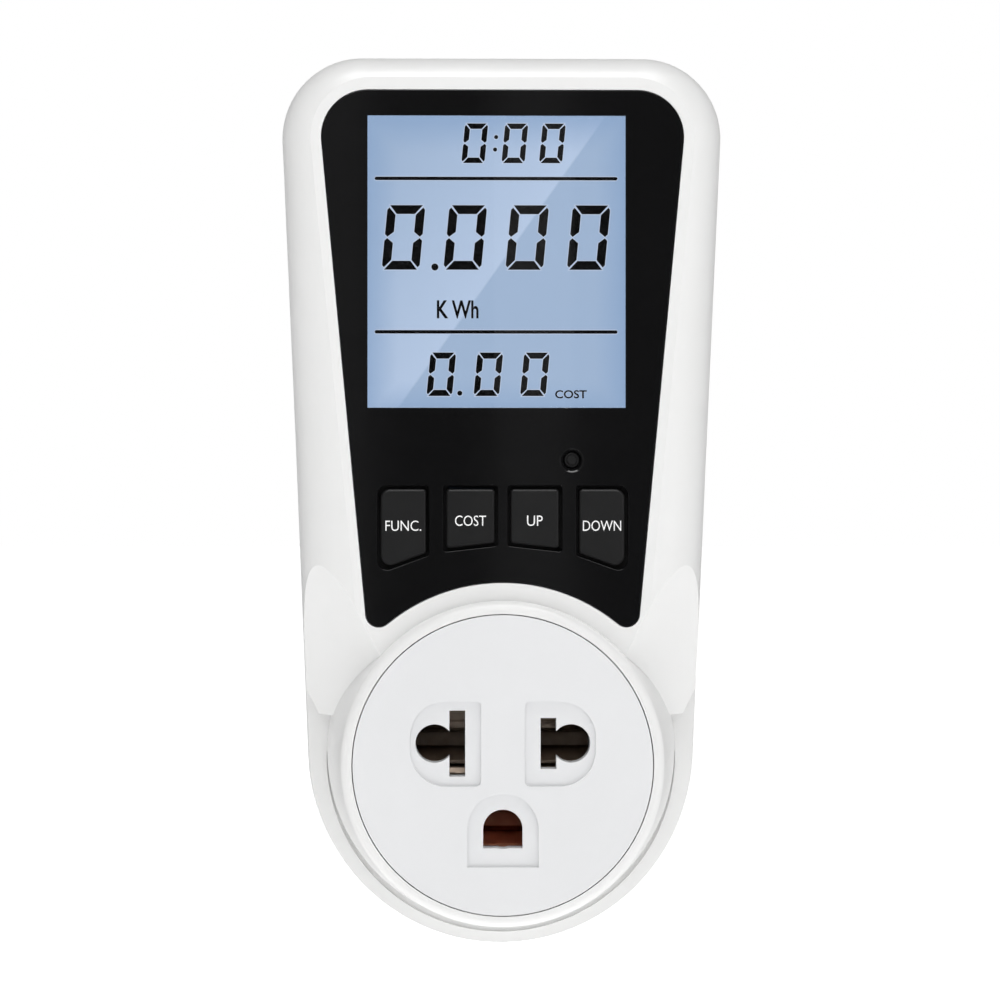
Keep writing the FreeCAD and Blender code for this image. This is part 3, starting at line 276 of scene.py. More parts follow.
    def set(self, **values: object) -> None:
        """Sets or links the shader's inputs.

        Args:
            **values: a socket or plain value for each input, with underscores for the spaces in its name.
        """
        for name, value in values.items():
            self.feed(value, self.shader.inputs[name.replace("_", " ")])


@dataclass(frozen=True)
class Moulding:
    """A moulded plastic, rubber or coat with a fine grain and slightly uneven colour."""

    name: str
    light: Colour
    dark: Colour
    smooth: float
    rough: float
    grain: float = 2200.0
    grain_depth: float = 2.0e-6
    edge: float = 0.0
    specular: float = 0.5
    soft: float = 0.0

    def make(self) -> bpy.types.Material:
        """The finish as a material."""
        weave = Weave(self.name)
        weave.set(Base_Color=weave.tint(weave.noise(60.0), self.dark, self.light),
                  Roughness=weave.patchy(240.0, self.smooth, self.rough),
                  Specular_IOR_Level=self.specular)
        if self.soft > 0:
            weave.set(Subsurface_Weight=self.soft, Subsurface_Radius=(0.002, 0.002, 0.002),
                      Subsurface_Scale=0.5)
        weave.bump(weave.noise(self.grain, 2.0), self.grain_depth, self.edge)
        return weave.material


@dataclass(frozen=True)
class Metal:
    """Drawn, rolled or plated metal with streaks along one axis and dull patches."""

    name: str
    bright: Colour
    dull: Colour
    smooth: float
    rough: float
    streak: Colour = (1, 1, 1)
    streaks: float = 700.0
    depth: float = 3.0e-6
    edge: float = 0.1 * MM

    def make(self) -> bpy.types.Material:
        """The finish as a material."""
        weave = Weave(self.name)
        weave.set(Base_Color=weave.tint(weave.noise(170.0, 5.0), self.dull, self.bright),
                  Roughness=weave.patchy(self.streaks, self.smooth, self.rough, 4.0, self.streak),
                  Metallic=1.0)
        weave.bump(weave.noise(self.streaks, 3.0, self.streak), self.depth, self.edge)
        return weave.material


@dataclass(frozen=True)
class Laminate:
    """A circuit board: solder mask over tracks on glass cloth."""

    name: str
    mask: Colour
    track: Colour
    tracks: float = 190.0
    track_share: float = 0.09
    shaded: float = 0.85

    def make(self) -> bpy.types.Material:
        """The finish as a material."""
        weave = Weave(self.name)
        bricks = weave.node("ShaderNodeTexBrick", offset=0.37, squash=1.6, squash_frequency=3)
        bricks.inputs["Scale"].default_value = self.tracks
        bricks.inputs["Mortar Size"].default_value = self.track_share
        bricks.inputs["Color1"].default_value = (*self.mask, 1)
        bricks.inputs["Color2"].default_value = (*[part * self.shaded for part in self.mask], 1)
        bricks.inputs["Mortar"].default_value = (*self.track, 1)
        turned = weave.node("ShaderNodeMapping")
        turned.inputs["Rotation"].default_value = (math.pi / 2, 0, 0)
        weave.feed(weave.place, turned.inputs["Vector"])
        weave.feed(turned.outputs["Vector"], bricks.inputs["Vector"])
        weave.set(Base_Color=bricks.outputs["Color"], Roughness=weave.patchy(900.0, 0.22, 0.38))
        weave.bump(bricks.outputs["Fac"], 1.5e-5)
        return weave.material


@dataclass(frozen=True)
class Banded:
    """A printed sleeve: a body colour with stripes of another across one axis."""

    name: str
    body: Colour
    band: Colour
    stripes: float
    axis: str
    share: float = 0.7
    blur: float = 0.03

    def make(self) -> bpy.types.Material:
        """The finish as a material."""
        weave = Weave(self.name)
        bands = weave.stripes(self.stripes, self.axis)
        weave.set(Base_Color=weave.tint(bands, self.body, self.band, (self.share, self.share + self.blur)),
                  Roughness=weave.patchy(500.0, 0.3, 0.45))
        weave.bump(weave.noise(1500.0), 4.0e-6)
        return weave.material


@dataclass(frozen=True)
class Clear:
    """Clear polished acrylic with the faintest waviness."""

    name: str
    colour: Colour

    def make(self) -> bpy.types.Material:
        """The finish as a material."""
        weave = Weave(self.name)
        weave.set(Base_Color=weave.tint(weave.noise(30.0), self.colour, (1, 1, 1)), IOR=1.45,
                  Transmission_Weight=1.0, Specular_IOR_Level=0.35,
                  Roughness=weave.patchy(90.0, 0.0, 0.012))
        weave.bump(weave.noise(45.0, 1.0), 2.0e-7)
        return weave.material


@dataclass(frozen=True)
class Backlit:
    """A lit display: brighter in the middle, deeper blue at its edges, with a painted reflection: a slanting
    lighter band painted into its glow.
    """

    name: str
    middle: Colour
    painted_reflection: Colour
    rim: Colour
    centre: Vector
    half: Vector
    slope: float = -1.217
    reflection_edge: Point = (-0.03, -0.004)
    reflection_reach: float = 1.7
    rim_reach: Point = (0.72, 1.02)
    unevenness: float = 0.02
    glow: float = 1.04

    def make(self) -> bpy.types.Material:
        """The finish as a material."""
        weave = Weave(self.name)
        split = weave.node("ShaderNodeSeparateXYZ")
        scale = (1 / self.half.x, 1, 1 / self.half.z)
        weave.feed(weave.mapped(scale, (-self.centre.x / self.half.x, 0, -self.centre.z / self.half.z)),
                   split.inputs["Vector"])
        across, up = split.outputs["X"], split.outputs["Z"]
        # painted reflection: a slanting, softly fading band of lighter glow, fixed on the glass, standing in
        # for a reflection in the window
        slant = weave.sums("ADD", weave.sums("MULTIPLY", across, self.slope), up)
        edge = weave.span(slant, self.reflection_edge, (0.0, 1.0))
        fade = weave.span(slant, (0.0, self.reflection_reach), (1.0, 0.0))
        lit = weave.tint(weave.sums("MULTIPLY", edge, fade), self.middle, self.painted_reflection, (0.0, 1.0))
        far = weave.sums("MAXIMUM", weave.sums("ABSOLUTE", across), weave.sums("ABSOLUTE", up))
        grain = weave.span(weave.noise(420.0), (0.0, 1.0), (-self.unevenness, self.unevenness))
        rim = weave.span(weave.sums("ADD", far, grain), self.rim_reach, (0.0, 1.0))
        mix = weave.node("ShaderNodeMix", data_type="RGBA", clamp_factor=True)
        weave.feed(rim, mix.inputs["Factor"])
        weave.feed(lit, mix.inputs[MIX_FIRST])
        mix.inputs[MIX_SECOND].default_value = (*self.rim, 1)
        weave.set(Base_Color=(0.02, 0.03, 0.05, 1), Emission_Color=mix.outputs[MIX_RESULT],
                  Emission_Strength=self.glow, Roughness=weave.patchy(300.0, 0.35, 0.45),
                  Specular_IOR_Level=0.1)
        return weave.material


@dataclass(frozen=True)
class Ink:
    """Print or liquid crystal: a flat tone broken by the finest speckle."""

    name: str
    colour: Colour
    faded: Colour
    glow: float = 0.0

    def make(self) -> bpy.types.Material:
        """The finish as a material."""
        weave = Weave(self.name)
        tone = weave.tint(weave.noise(2600.0, 2.0), self.faded, self.colour)
        weave.set(Roughness=weave.patchy(1400.0, 0.45, 0.6), Specular_IOR_Level=0.1)
        if self.glow > 0:
            weave.set(Base_Color=(0.02, 0.02, 0.02, 1), Emission_Color=tone, Emission_Strength=self.glow)
        else:
            weave.set(Base_Color=tone)
        weave.bump(weave.noise(3000.0), 1.0e-6)
        return weave.material


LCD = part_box("lcd_panel")
LCD_CENTRE = (LCD[0] + LCD[1]) / 2
LCD_HALF = (LCD[1] - LCD[0]) / 2
DRAWN_UP = (1.0, 0.1, 1.0)
FINISHES = {
    "white_shell": Moulding("white_shell_plastic", (0.825, 0.825, 0.82), (0.81, 0.81, 0.803), 0.29, 0.33),
    "socket_white": Moulding("socket_white_plastic", (0.775, 0.78, 0.79), (0.76, 0.765, 0.775), 0.36, 0.44),
    "black_gloss": Moulding("black_panel_gloss", (0.0052, 0.0052, 0.0055), (0.0045, 0.0045, 0.0048),
                            0.05, 0.09, grain_depth=1.0e-7),
    "clear_window": Clear("clear_window_acrylic", (0.985, 0.99, 1.0)),
    # the display's second colour is the tone of a painted reflection across the glass
    "display_glass": Backlit("lit_display_glass", shade(158, 179, 206), shade(180, 198, 223),
                             shade(136, 163, 198), LCD_CENTRE, LCD_HALF),
    "light_guide": Moulding("frosted_light_guide", (0.85, 0.9, 0.95), (0.78, 0.85, 0.92), 0.4, 0.6, soft=0.2),
    "dark_plastic": Moulding("dark_moulding", (0.03, 0.03, 0.032), (0.022, 0.022, 0.024), 0.4, 0.55),
    "grey_rubber": Banded("striped_rubber", (0.25, 0.25, 0.26), (0.03, 0.03, 0.03), 2500.0, "X", 0.5),
    "black_sleeve": Moulding("pin_sleeve_nylon", (0.02, 0.02, 0.021), (0.012, 0.012, 0.013), 0.42, 0.55,
                             edge=0.0002),
    "plated_pin": Metal("nickel_plated_pin", (0.80, 0.79, 0.76), (0.70, 0.69, 0.66), 0.14, 0.26,
                        (1, 0.04, 1)),
    "bronze_contact": Metal("bronze_contact_strip", (0.52, 0.43, 0.35), (0.30, 0.23, 0.18), 0.28, 0.45,
                            DRAWN_UP),
    "copper_contact": Metal("copper_contact_strip", (0.86, 0.40, 0.25), (0.62, 0.24, 0.14), 0.34, 0.5,
                            DRAWN_UP),
    "copper_bar": Metal("rolled_copper_bar", (0.80, 0.42, 0.25), (0.62, 0.29, 0.16), 0.25, 0.4, (1, 1, 0.05)),
    "circuit_board": Laminate("green_circuit_board", (0.02, 0.16, 0.06), (0.05, 0.28, 0.11)),
    "battery_wrap": Banded("battery_wrap", (0.03, 0.22, 0.07), (0.75, 0.75, 0.7), 66.0, "X", 0.93),
    "spring_nickel": Metal("nickel_spring_strip", (0.72, 0.70, 0.64), (0.58, 0.56, 0.5), 0.2, 0.35,
                           (1, 1, 0.05)),
    "capacitor_box": Moulding("capacitor_potting", (0.75, 0.48, 0.06), (0.66, 0.40, 0.04), 0.32, 0.45,
                              edge=0.0004),
    "capacitor_can": Banded("capacitor_sleeve", (0.012, 0.016, 0.05), (0.6, 0.62, 0.66), 50.0, "X", 0.9),
    "varistor_coat": Moulding("varistor_coat", (0.03, 0.12, 0.42), (0.02, 0.09, 0.32), 0.25, 0.4,
                              900.0, 2.0e-5, edge=0.0006),
    "resistor_body": Banded("resistor_coat", (0.24, 0.38, 0.28), (0.35, 0.1, 0.03), 330.0, "Z", 0.75),
    "label_film": Moulding("label_film", (0.62, 0.63, 0.65), (0.57, 0.58, 0.60), 0.3, 0.42, 3500.0, 1.0e-6),
    "zinc_steel": Metal("zinc_plated_steel", (0.66, 0.67, 0.69), (0.5, 0.51, 0.52), 0.25, 0.42),
    "key_black": Moulding("key_cap_satin", (0.0148, 0.0148, 0.0152), (0.0132, 0.0132, 0.0136), 0.34, 0.42,
                          3200.0, 1.2e-6, specular=0.4),
    "switch_plastic": Moulding("plunger_nylon", (0.38, 0.1, 0.08), (0.3, 0.07, 0.05), 0.4, 0.55),
    "switch_body": Moulding("switch_case", (0.035, 0.035, 0.037), (0.028, 0.028, 0.03), 0.4, 0.5),
    "lcd_ink": Ink("lcd_segment_ink", (0.0022, 0.0022, 0.0028), (0.0012, 0.0012, 0.0018)),
    "lcd_halo": Ink("lcd_etched_halo", shade(196, 209, 230), shade(190, 204, 227), 1.0),
    "white_print": Ink("white_key_print", (0.93, 0.93, 0.93), (0.88, 0.88, 0.88)),
    "grey_print": Ink("grey_label_print", (0.09, 0.09, 0.1), (0.06, 0.06, 0.07)),
}
MATERIALS = {slot: finish.make() for slot, finish in FINISHES.items()}


# ---------------------------------------------------------------- making pieces
def finished(mesh: bmesh.types.BMesh, name: str, finish: str, body: str = "meter_body",
             stands_for: tuple[str, ...] = (), flat: bool = False) -> bpy.types.Object:
    """Turns a bmesh into a dressed piece that rides on its body.

    Args:
        mesh: the shape, in its place; it is freed.
        name: the piece's name.
        finish: the key of its finish.
        body: the body that it rides on.
        stands_for: the nodes that it replaces.
        flat: whether its faces stay flat shaded.

    Returns:
        The new object.
    """
    data = bpy.data.meshes.new(name)
    mesh.to_mesh(data)
    mesh.free()
    if not flat:
        data.shade_smooth()
        data.set_sharp_from_angle(angle=SMOOTH_ANGLE)
    data.materials.append(MATERIALS[finish])
    piece = bpy.data.objects.new(name, data)
    bpy.context.collection.objects.link(piece)
    if not flat:
        weighted = piece.modifiers.new("even_normals", "WEIGHTED_NORMAL")
        weighted.keep_sharp = True
        weighted.weight = NORMAL_WEIGHT
    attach(piece, body)
    if stands_for:
        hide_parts(*stands_for)
    LOG.info("%s on %s", name, body)
    return piece


def copied(node: str) -> bmesh.types.BMesh:
    """A node's shape, merged and with its flat faces whole.

    Args:
        node: the node's name.

    Returns:
        The shape, to be changed and then finished.
    """
    mesh = bmesh.new()
    mesh.from_mesh(frame["nodes"][node].data)
    bmesh.ops.remove_doubles(mesh, verts=mesh.verts, dist=MERGE)
    bmesh.ops.dissolve_limit(mesh, angle_limit=FLAT_ANGLE, verts=mesh.verts, edges=mesh.edges)
    return mesh


def soften(mesh: bmesh.types.BMesh, width: float, steps: int,
           chosen: Callable[[bmesh.types.BMEdge], bool]) -> None:
    """Rounds the sharp edges that are chosen.

    Args:
        mesh: the shape.
        width: the rounding's width in metres.
        steps: how many facets it has.
        chosen: says which of the sharp outer edges to take.
    """
    sharp = [edge for edge in mesh.edges if len(edge.link_faces) == 2
             and edge.calc_face_angle(0.0) > SHARP_ANGLE and edge.is_convex and chosen(edge)]
    bmesh.ops.bevel(mesh, geom=sharp, offset=width, offset_type="OFFSET", segments=steps, profile=0.5,
                    affect="EDGES", clamp_overlap=True, loop_slide=False, material=-1)


def flat_at(edge: bmesh.types.BMEdge, depth: float) -> bool:
    """Whether an edge lies in the plane at a y value.

    Args:
        edge: the edge.
        depth: the y value.

    Returns:
        True when both its ends are in the plane.
    """
    return all(abs(vert.co.y - depth) < LEVEL for vert in edge.verts)


def ring_length(edge: bmesh.types.BMEdge, centre: Point) -> float:
    """How far an edge's start lies from an axis along y."""
    return (Vector((edge.verts[0].co.x, edge.verts[0].co.z)) - Vector(centre)).length


def slab(mesh: bmesh.types.BMesh, outline: list[Point], back: float, front: float) -> None:
    """Adds a flat piece with an outline in x and z between two y values.

    Args:
        mesh: where it goes.
        outline: its corners, in order.
        back: the y of its back.
        front: the y of its front.
    """
    face = mesh.faces.new([mesh.verts.new((x, back, z)) for x, z in outline])
    raised = bmesh.ops.extrude_face_region(mesh, geom=[face])["geom"]
    bmesh.ops.translate(mesh, vec=(0, front - back, 0),
                        verts=[item for item in raised if isinstance(item, bmesh.types.BMVert)])
    bmesh.ops.recalc_face_normals(mesh, faces=mesh.faces)


def oblong(mesh: bmesh.types.BMesh, across: Point, up: Point, back: float, front: float) -> None:
    """Adds a slab with a rectangular outline.

    Args:
        mesh: where it goes.
        across: its lowest and highest x.
        up: its lowest and highest z.
        back: the y of its back.
        front: the y of its front.
    """
    slab(mesh, [(across[0], up[0]), (across[1], up[0]), (across[1], up[1]), (across[0], up[1])], back, front)


def disc(mesh: bmesh.types.BMesh, centre: Point, radius: float, back: float, front: float,
         sides: int = 24) -> None:
    """Adds a round slab.

    Args:
        mesh: where it goes.
        centre: the x and z of its middle.
        radius: its radius.
        back: the y of its back.
        front: the y of its front.
        sides: how many flats stand for the circle.
    """
    turns = [math.tau * number / sides for number in range(sides)]
    slab(mesh, [(centre[0] + radius * math.cos(turn), centre[1] + radius * math.sin(turn)) for turn in turns],
         back, front)


def grown(outline: list[Point], out: float) -> list[Point]:
    """A convex outline with each side moved outwards by the same amount.

    Args:
        outline: its corners, in either order.
        out: how far the sides move.

    Returns:
        The new corners, in the same order.
    """
    total = len(outline)
    area = sum(outline[i][0] * outline[(i + 1) % total][1] - outline[(i + 1) % total][0] * outline[i][1]
               for i in range(total))
    sign = 1.0 if area > 0 else -1.0
    lines = []
    for start, end in zip(outline, outline[1:] + outline[:1]):
        along = (Vector(end) - Vector(start)).normalized()
        normal = Vector((along.y, -along.x)) * sign
        lines.append((Vector(start) + normal * out, along))
    corners = []
    for (first, one), (second, two) in zip(lines[-1:] + lines[:-1], lines):
        cross = one.x * two.y - one.y * two.x
        reach = ((second - first).x * two.y - (second - first).y * two.x) / cross
        corners.append(tuple(first + one * reach))
    return corners


def lettering(mesh: bmesh.types.BMesh, text: str, size: Point, centre: Point, back: float, front: float,
              bold: float = 0.0) -> None:
    """Adds a word as raised print facing -Y.

    Args:
        mesh: where it goes.
        text: the word.
        size: its width and height in metres.
        centre: the x and z of its middle.
        back: the y of its back.
        front: the y of its front.
        bold: how far its strokes are thickened, as a share of its height.
    """
    curve = bpy.data.curves.new("word", "FONT")
    curve.body = text
    curve.offset = bold
    curve.extrude = 0.5
    curve.resolution_u = 4
    holder = bpy.data.objects.new("word", curve)
    bpy.context.collection.objects.link(holder)
    letters = bpy.data.meshes.new_from_object(holder.evaluated_get(bpy.context.evaluated_depsgraph_get()))
    bpy.data.objects.remove(holder)
    bpy.data.curves.remove(curve)
    low = Vector([min(vert.co[axis] for vert in letters.vertices) for axis in range(3)])
    high = Vector([max(vert.co[axis] for vert in letters.vertices) for axis in range(3)])
    middle = (low + high) / 2
    wide, tall = high.x - low.x, high.y - low.y
    stretch = Matrix.Diagonal((size[0] / wide, size[1] / tall, abs(back - front), 1.0))
    stand = Matrix.Rotation(math.pi / 2, 4, "X")
    place = Matrix.Translation((centre[0], (back + front) / 2, centre[1]))
    letters.transform(place @ stand @ stretch @ Matrix.Translation(-middle))
    mesh.from_mesh(letters)
    bmesh.ops.remove_doubles(mesh, verts=mesh.verts, dist=LETTER_MERGE)
    bpy.data.meshes.remove(letters)


def dress_nodes() -> None:
    """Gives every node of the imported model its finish."""
    for part in frame["record"]["subparts"]:
        data = frame["nodes"][part["node"]].data
        data.materials.clear()
        data.materials.append(MATERIALS[part["material_slot"]])


# ---------------------------------------------------------------- black panel and window
@dataclass
class Panel:
    """The glossy black panel with rounded openings, and the clear window in it."""

    opening: float = 0.3 * MM
    window_edge: float = 0.12 * MM

    def build(self) -> None:
        """Makes the panel and the window."""
        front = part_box("black_bezel")[0].y
        mesh = copied("black_bezel")
        soften(mesh, self.opening, 3, lambda edge: flat_at(edge, front))
        finished(mesh, "panel_gloss", "black_gloss", stands_for=("black_bezel",))
        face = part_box("window_lens")[0].y
        lens = copied("window_lens")
        soften(lens, self.window_edge, 2, lambda edge: flat_at(edge, face))
        finished(lens, "window_clear", "clear_window", stands_for=("window_lens",))


# ---------------------------------------------------------------- display
class Bar(Enum):
    """The seven bars of a digit, named by where they are."""

    TOP = "top"
    UPPER_LEFT = "upper_left"
    UPPER_RIGHT = "upper_right"
    LOWER_LEFT = "lower_left"
    LOWER_RIGHT = "lower_right"
    BOTTOM = "bottom"


@dataclass(frozen=True)
class Digit:
    """A seven-bar digit: its size in metres, and how much its corners are cut, as a share of the stroke."""

    width: float
    height: float
    stroke: float
    gap: float = 0.13 * MM
    lean: float = math.tan(math.radians(5.5))
    cut: float = 0.28

    def outline(self, bar: Bar) -> list[Point]:
        """One bar before it leans: a top or an upper left bar, mirrored for the others.

        Args:
            bar: which bar.

        Returns:
            Its corners, from the digit's lower left corner.
        """
        wide, tall, thick, gap = self.width, self.height, self.stroke, self.gap
        middle = tall / 2 + gap * 0.7
        clip = thick * self.cut
        if bar in (Bar.TOP, Bar.BOTTOM):
            corners = [(gap + clip * 0.6, tall), (wide - gap - clip * 0.6, tall),
                       (wide - thick - gap, tall - thick), (thick + gap, tall - thick)]
        else:
            corners = [(0.0, tall - gap - clip * 1.5), (clip * 0.8, tall - gap - clip * 0.55),
                       (thick, tall - thick - gap), (thick, middle + thick * 0.55), (thick * 0.3, middle),
                       (0.0, middle + thick * 0.3)]
        if bar in (Bar.UPPER_RIGHT, Bar.LOWER_RIGHT):
            corners = [(wide - x, z) for x, z in corners]
        if bar in (Bar.LOWER_LEFT, Bar.LOWER_RIGHT, Bar.BOTTOM):
            corners = [(x, tall - z) for x, z in corners]
        return corners

    def placed(self, bar: Bar, centre: Point, out: float) -> list[Point]:
        """One bar in its place, leaning.

        Args:
            bar: which bar.
            centre: the x and z of the digit's middle.
            out: how far its sides move outwards.

        Returns:
            Its corners in x and z.
        """
        corners = grown(self.outline(bar), out) if out else self.outline(bar)
        return [(centre[0] + x - self.width / 2 + (z - self.height / 2) * self.lean,
                 centre[1] + z - self.height / 2) for x, z in corners]


@dataclass(frozen=True)
class Row:
    """One row of the display: its noughts by x and its dots by x, z and radius, from the glass's middle."""

    digit: Digit
    level: float
    places: tuple[float, ...]
    dots: tuple[tuple[float, float, float], ...]


@dataclass
class Display:
    """Everything that shows on the lit glass, measured from its middle."""

    middle: Point = (LCD_CENTRE.x, LCD_CENTRE.z)
    thick: float = 0.06 * MM
    halo_thick: float = 0.03 * MM
    halo: float = 0.10 * MM
    rule_half: float = 0.24 * MM
    rules: tuple[float, ...] = (12.38 * MM, -9.15 * MM)
    rule_ends: Point = (-16.95 * MM, 16.85 * MM)
    rule_tip: float = 0.8
    texts: tuple[tuple[str, Point, Point], ...] = (
        ("K Wh", (5.85 * MM, 2.55 * MM), (-5.45 * MM, -6.0 * MM)),
        ("COST", (4.45 * MM, 1.16 * MM), (10.45 * MM, -17.9 * MM)))
    bold: float = 0.022
    halo_bold: float = 0.02

    def rows(self) -> list[Row]:
        """The three rows of noughts, from the top: the clock, the energy and the cost."""
        clock = Digit(3.25 * MM, 5.55 * MM, 0.76 * MM, 0.1 * MM)
        power = Digit(5.3 * MM, 9.05 * MM, 1.24 * MM)
        cost = Digit(3.6 * MM, 6.1 * MM, 0.86 * MM, 0.1 * MM)
        return [
            Row(clock, 17.33 * MM, (-3.05 * MM, 2.58 * MM, 7.85 * MM),
                ((-0.05 * MM, 18.2 * MM, 0.29 * MM), (-0.2 * MM, 16.45 * MM, 0.29 * MM))),
            Row(power, 4.1 * MM, (-13.05 * MM, -4.38 * MM, 4.31 * MM, 12.95 * MM),
                ((-8.65 * MM, -0.05 * MM, 0.5 * MM),)),
            Row(cost, -15.1 * MM, (-7.75 * MM, -1.15 * MM, 5.39 * MM),
                ((-5.15 * MM, -17.75 * MM, 0.36 * MM),)),
        ]

    def draw(self, mesh: bmesh.types.BMesh, back: float, front: float, out: float) -> None:
        """Adds every bar, dot and rule.

        Args:
            mesh: where they go.
            back: the y of their backs.
            front: the y of their fronts.
            out: how far their sides move outwards.
        """
        x_mid, z_mid = self.middle
        for row in self.rows():
            for place in row.places:
                for bar in Bar:
                    corners = row.digit.placed(bar, (x_mid + place, z_mid + row.level), out)
                    slab(mesh, corners, back, front)
            for x, z, radius in row.dots:
                disc(mesh, (x_mid + x, z_mid + z), radius + out, back, front, 20)
        half = self.rule_half + out
        tip = half * self.rule_tip
        left, right = (x_mid + end for end in self.rule_ends)
        for level in self.rules:
            middle = z_mid + level
            slab(mesh, [(left, middle - half), (right, middle - half), (right + tip, middle),
                        (right, middle + half), (left, middle + half), (left - tip, middle)], back, front)

    def words(self, mesh: bmesh.types.BMesh, back: float, front: float, bold: float) -> None:
        """Adds the unit and the small word beside the lowest row.

        Args:
            mesh: where they go.
            back: the y of their backs.
            front: the y of their fronts.
            bold: how far their strokes are thickened, as a share of their height.
        """
        x_mid, z_mid = self.middle
        for text, size, (across, up) in self.texts:
            lettering(mesh, text, size, (x_mid + across, z_mid + up), back, front, bold)

    def build(self) -> None:
        """Makes the dark marks and the pale halo behind them."""
        glass = LCD[0].y
        halo_front = glass - self.halo_thick
        for name, finish, back, front, out, bold in (
            ("display_halo", "lcd_halo", glass, halo_front, self.halo, self.bold + self.halo_bold),
            ("display_marks", "lcd_ink", halo_front, glass - self.thick, 0.0, self.bold),
        ):
            mesh = bmesh.new()
            self.draw(mesh, back, front, out)
            self.words(mesh, back, front, bold)
            finished(mesh, name, finish, flat=True)


# ---------------------------------------------------------------- keys
@dataclass
class Keys:
    """Four satin caps with white words, and the small reset key."""

    rounding: float = 0.45 * MM
    print_thick: float = 0.03 * MM
    print_thin: float = -0.003
    letter_height: float = 1.45 * MM
    below_top: float = 5.3 * MM
    words: tuple[tuple[str, str, float, float], ...] = (
        ("function", "FUNC.", 5.0 * MM, 0.7 * MM), ("cost", "COST", 4.35 * MM, 0.0),
        ("up", "UP", 2.2 * MM, 0.0), ("down", "DOWN", 5.35 * MM, 0.7 * MM))
    reset_rounding: float = 0.2 * MM
    crown_radius: float = 0.72 * MM
    crown_height: float = 0.25 * MM
    crown_rounding: float = 0.06 * MM

    def build(self) -> None:
        """Makes the caps, their words and the reset key."""
        for name, word, wide, lower in self.words:
            self.cap(name)
            self.word(name, word, wide, lower)
        self.reset()

    def cap(self, name: str) -> None:
        """One cap with a rounded rim.

        Args:
            name: the key.
        """
        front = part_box(name + "_key")[0].y
        mesh = copied(name + "_key")
        soften(mesh, self.rounding, 4, lambda edge: flat_at(edge, front))
        finished(mesh, name + "_cap", "key_black", name + "_button", stands_for=(name + "_key",))

    def word(self, name: str, word: str, wide: float, lower: float) -> None:
        """The white word on a cap.

        Args:
            name: the key.
            word: its word.
            wide: the word's width.
            lower: how far it stands below the words of the middle keys.
        """
        low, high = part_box(name + "_key")
        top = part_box("cost_key")[1].z
        centre = ((low.x + high.x) / 2, top - self.below_top - lower)
        mesh = bmesh.new()
        lettering(mesh, word, (wide, self.letter_height), centre, low.y, low.y - self.print_thick,
                  self.print_thin)
        finished(mesh, name + "_word", "white_print", name + "_button", flat=True)

    def reset(self) -> None:
        """A small round key with a raised hexagon."""
        low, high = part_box("reset_key")
        centre = ((low.x + high.x) / 2, (low.z + high.z) / 2)
        mesh = copied("reset_key")
        soften(mesh, self.reset_rounding, 3, lambda edge: flat_at(edge, low.y))
        finished(mesh, "reset_cap", "key_black", "reset_button", stands_for=("reset_key",))
        crown = bmesh.new()
        tip = low.y - self.crown_height
        disc(crown, centre, self.crown_radius, low.y, tip, 6)
        soften(crown, self.crown_rounding, 2, lambda edge: flat_at(edge, tip))
        finished(crown, "reset_hexagon", "key_black", "reset_button")


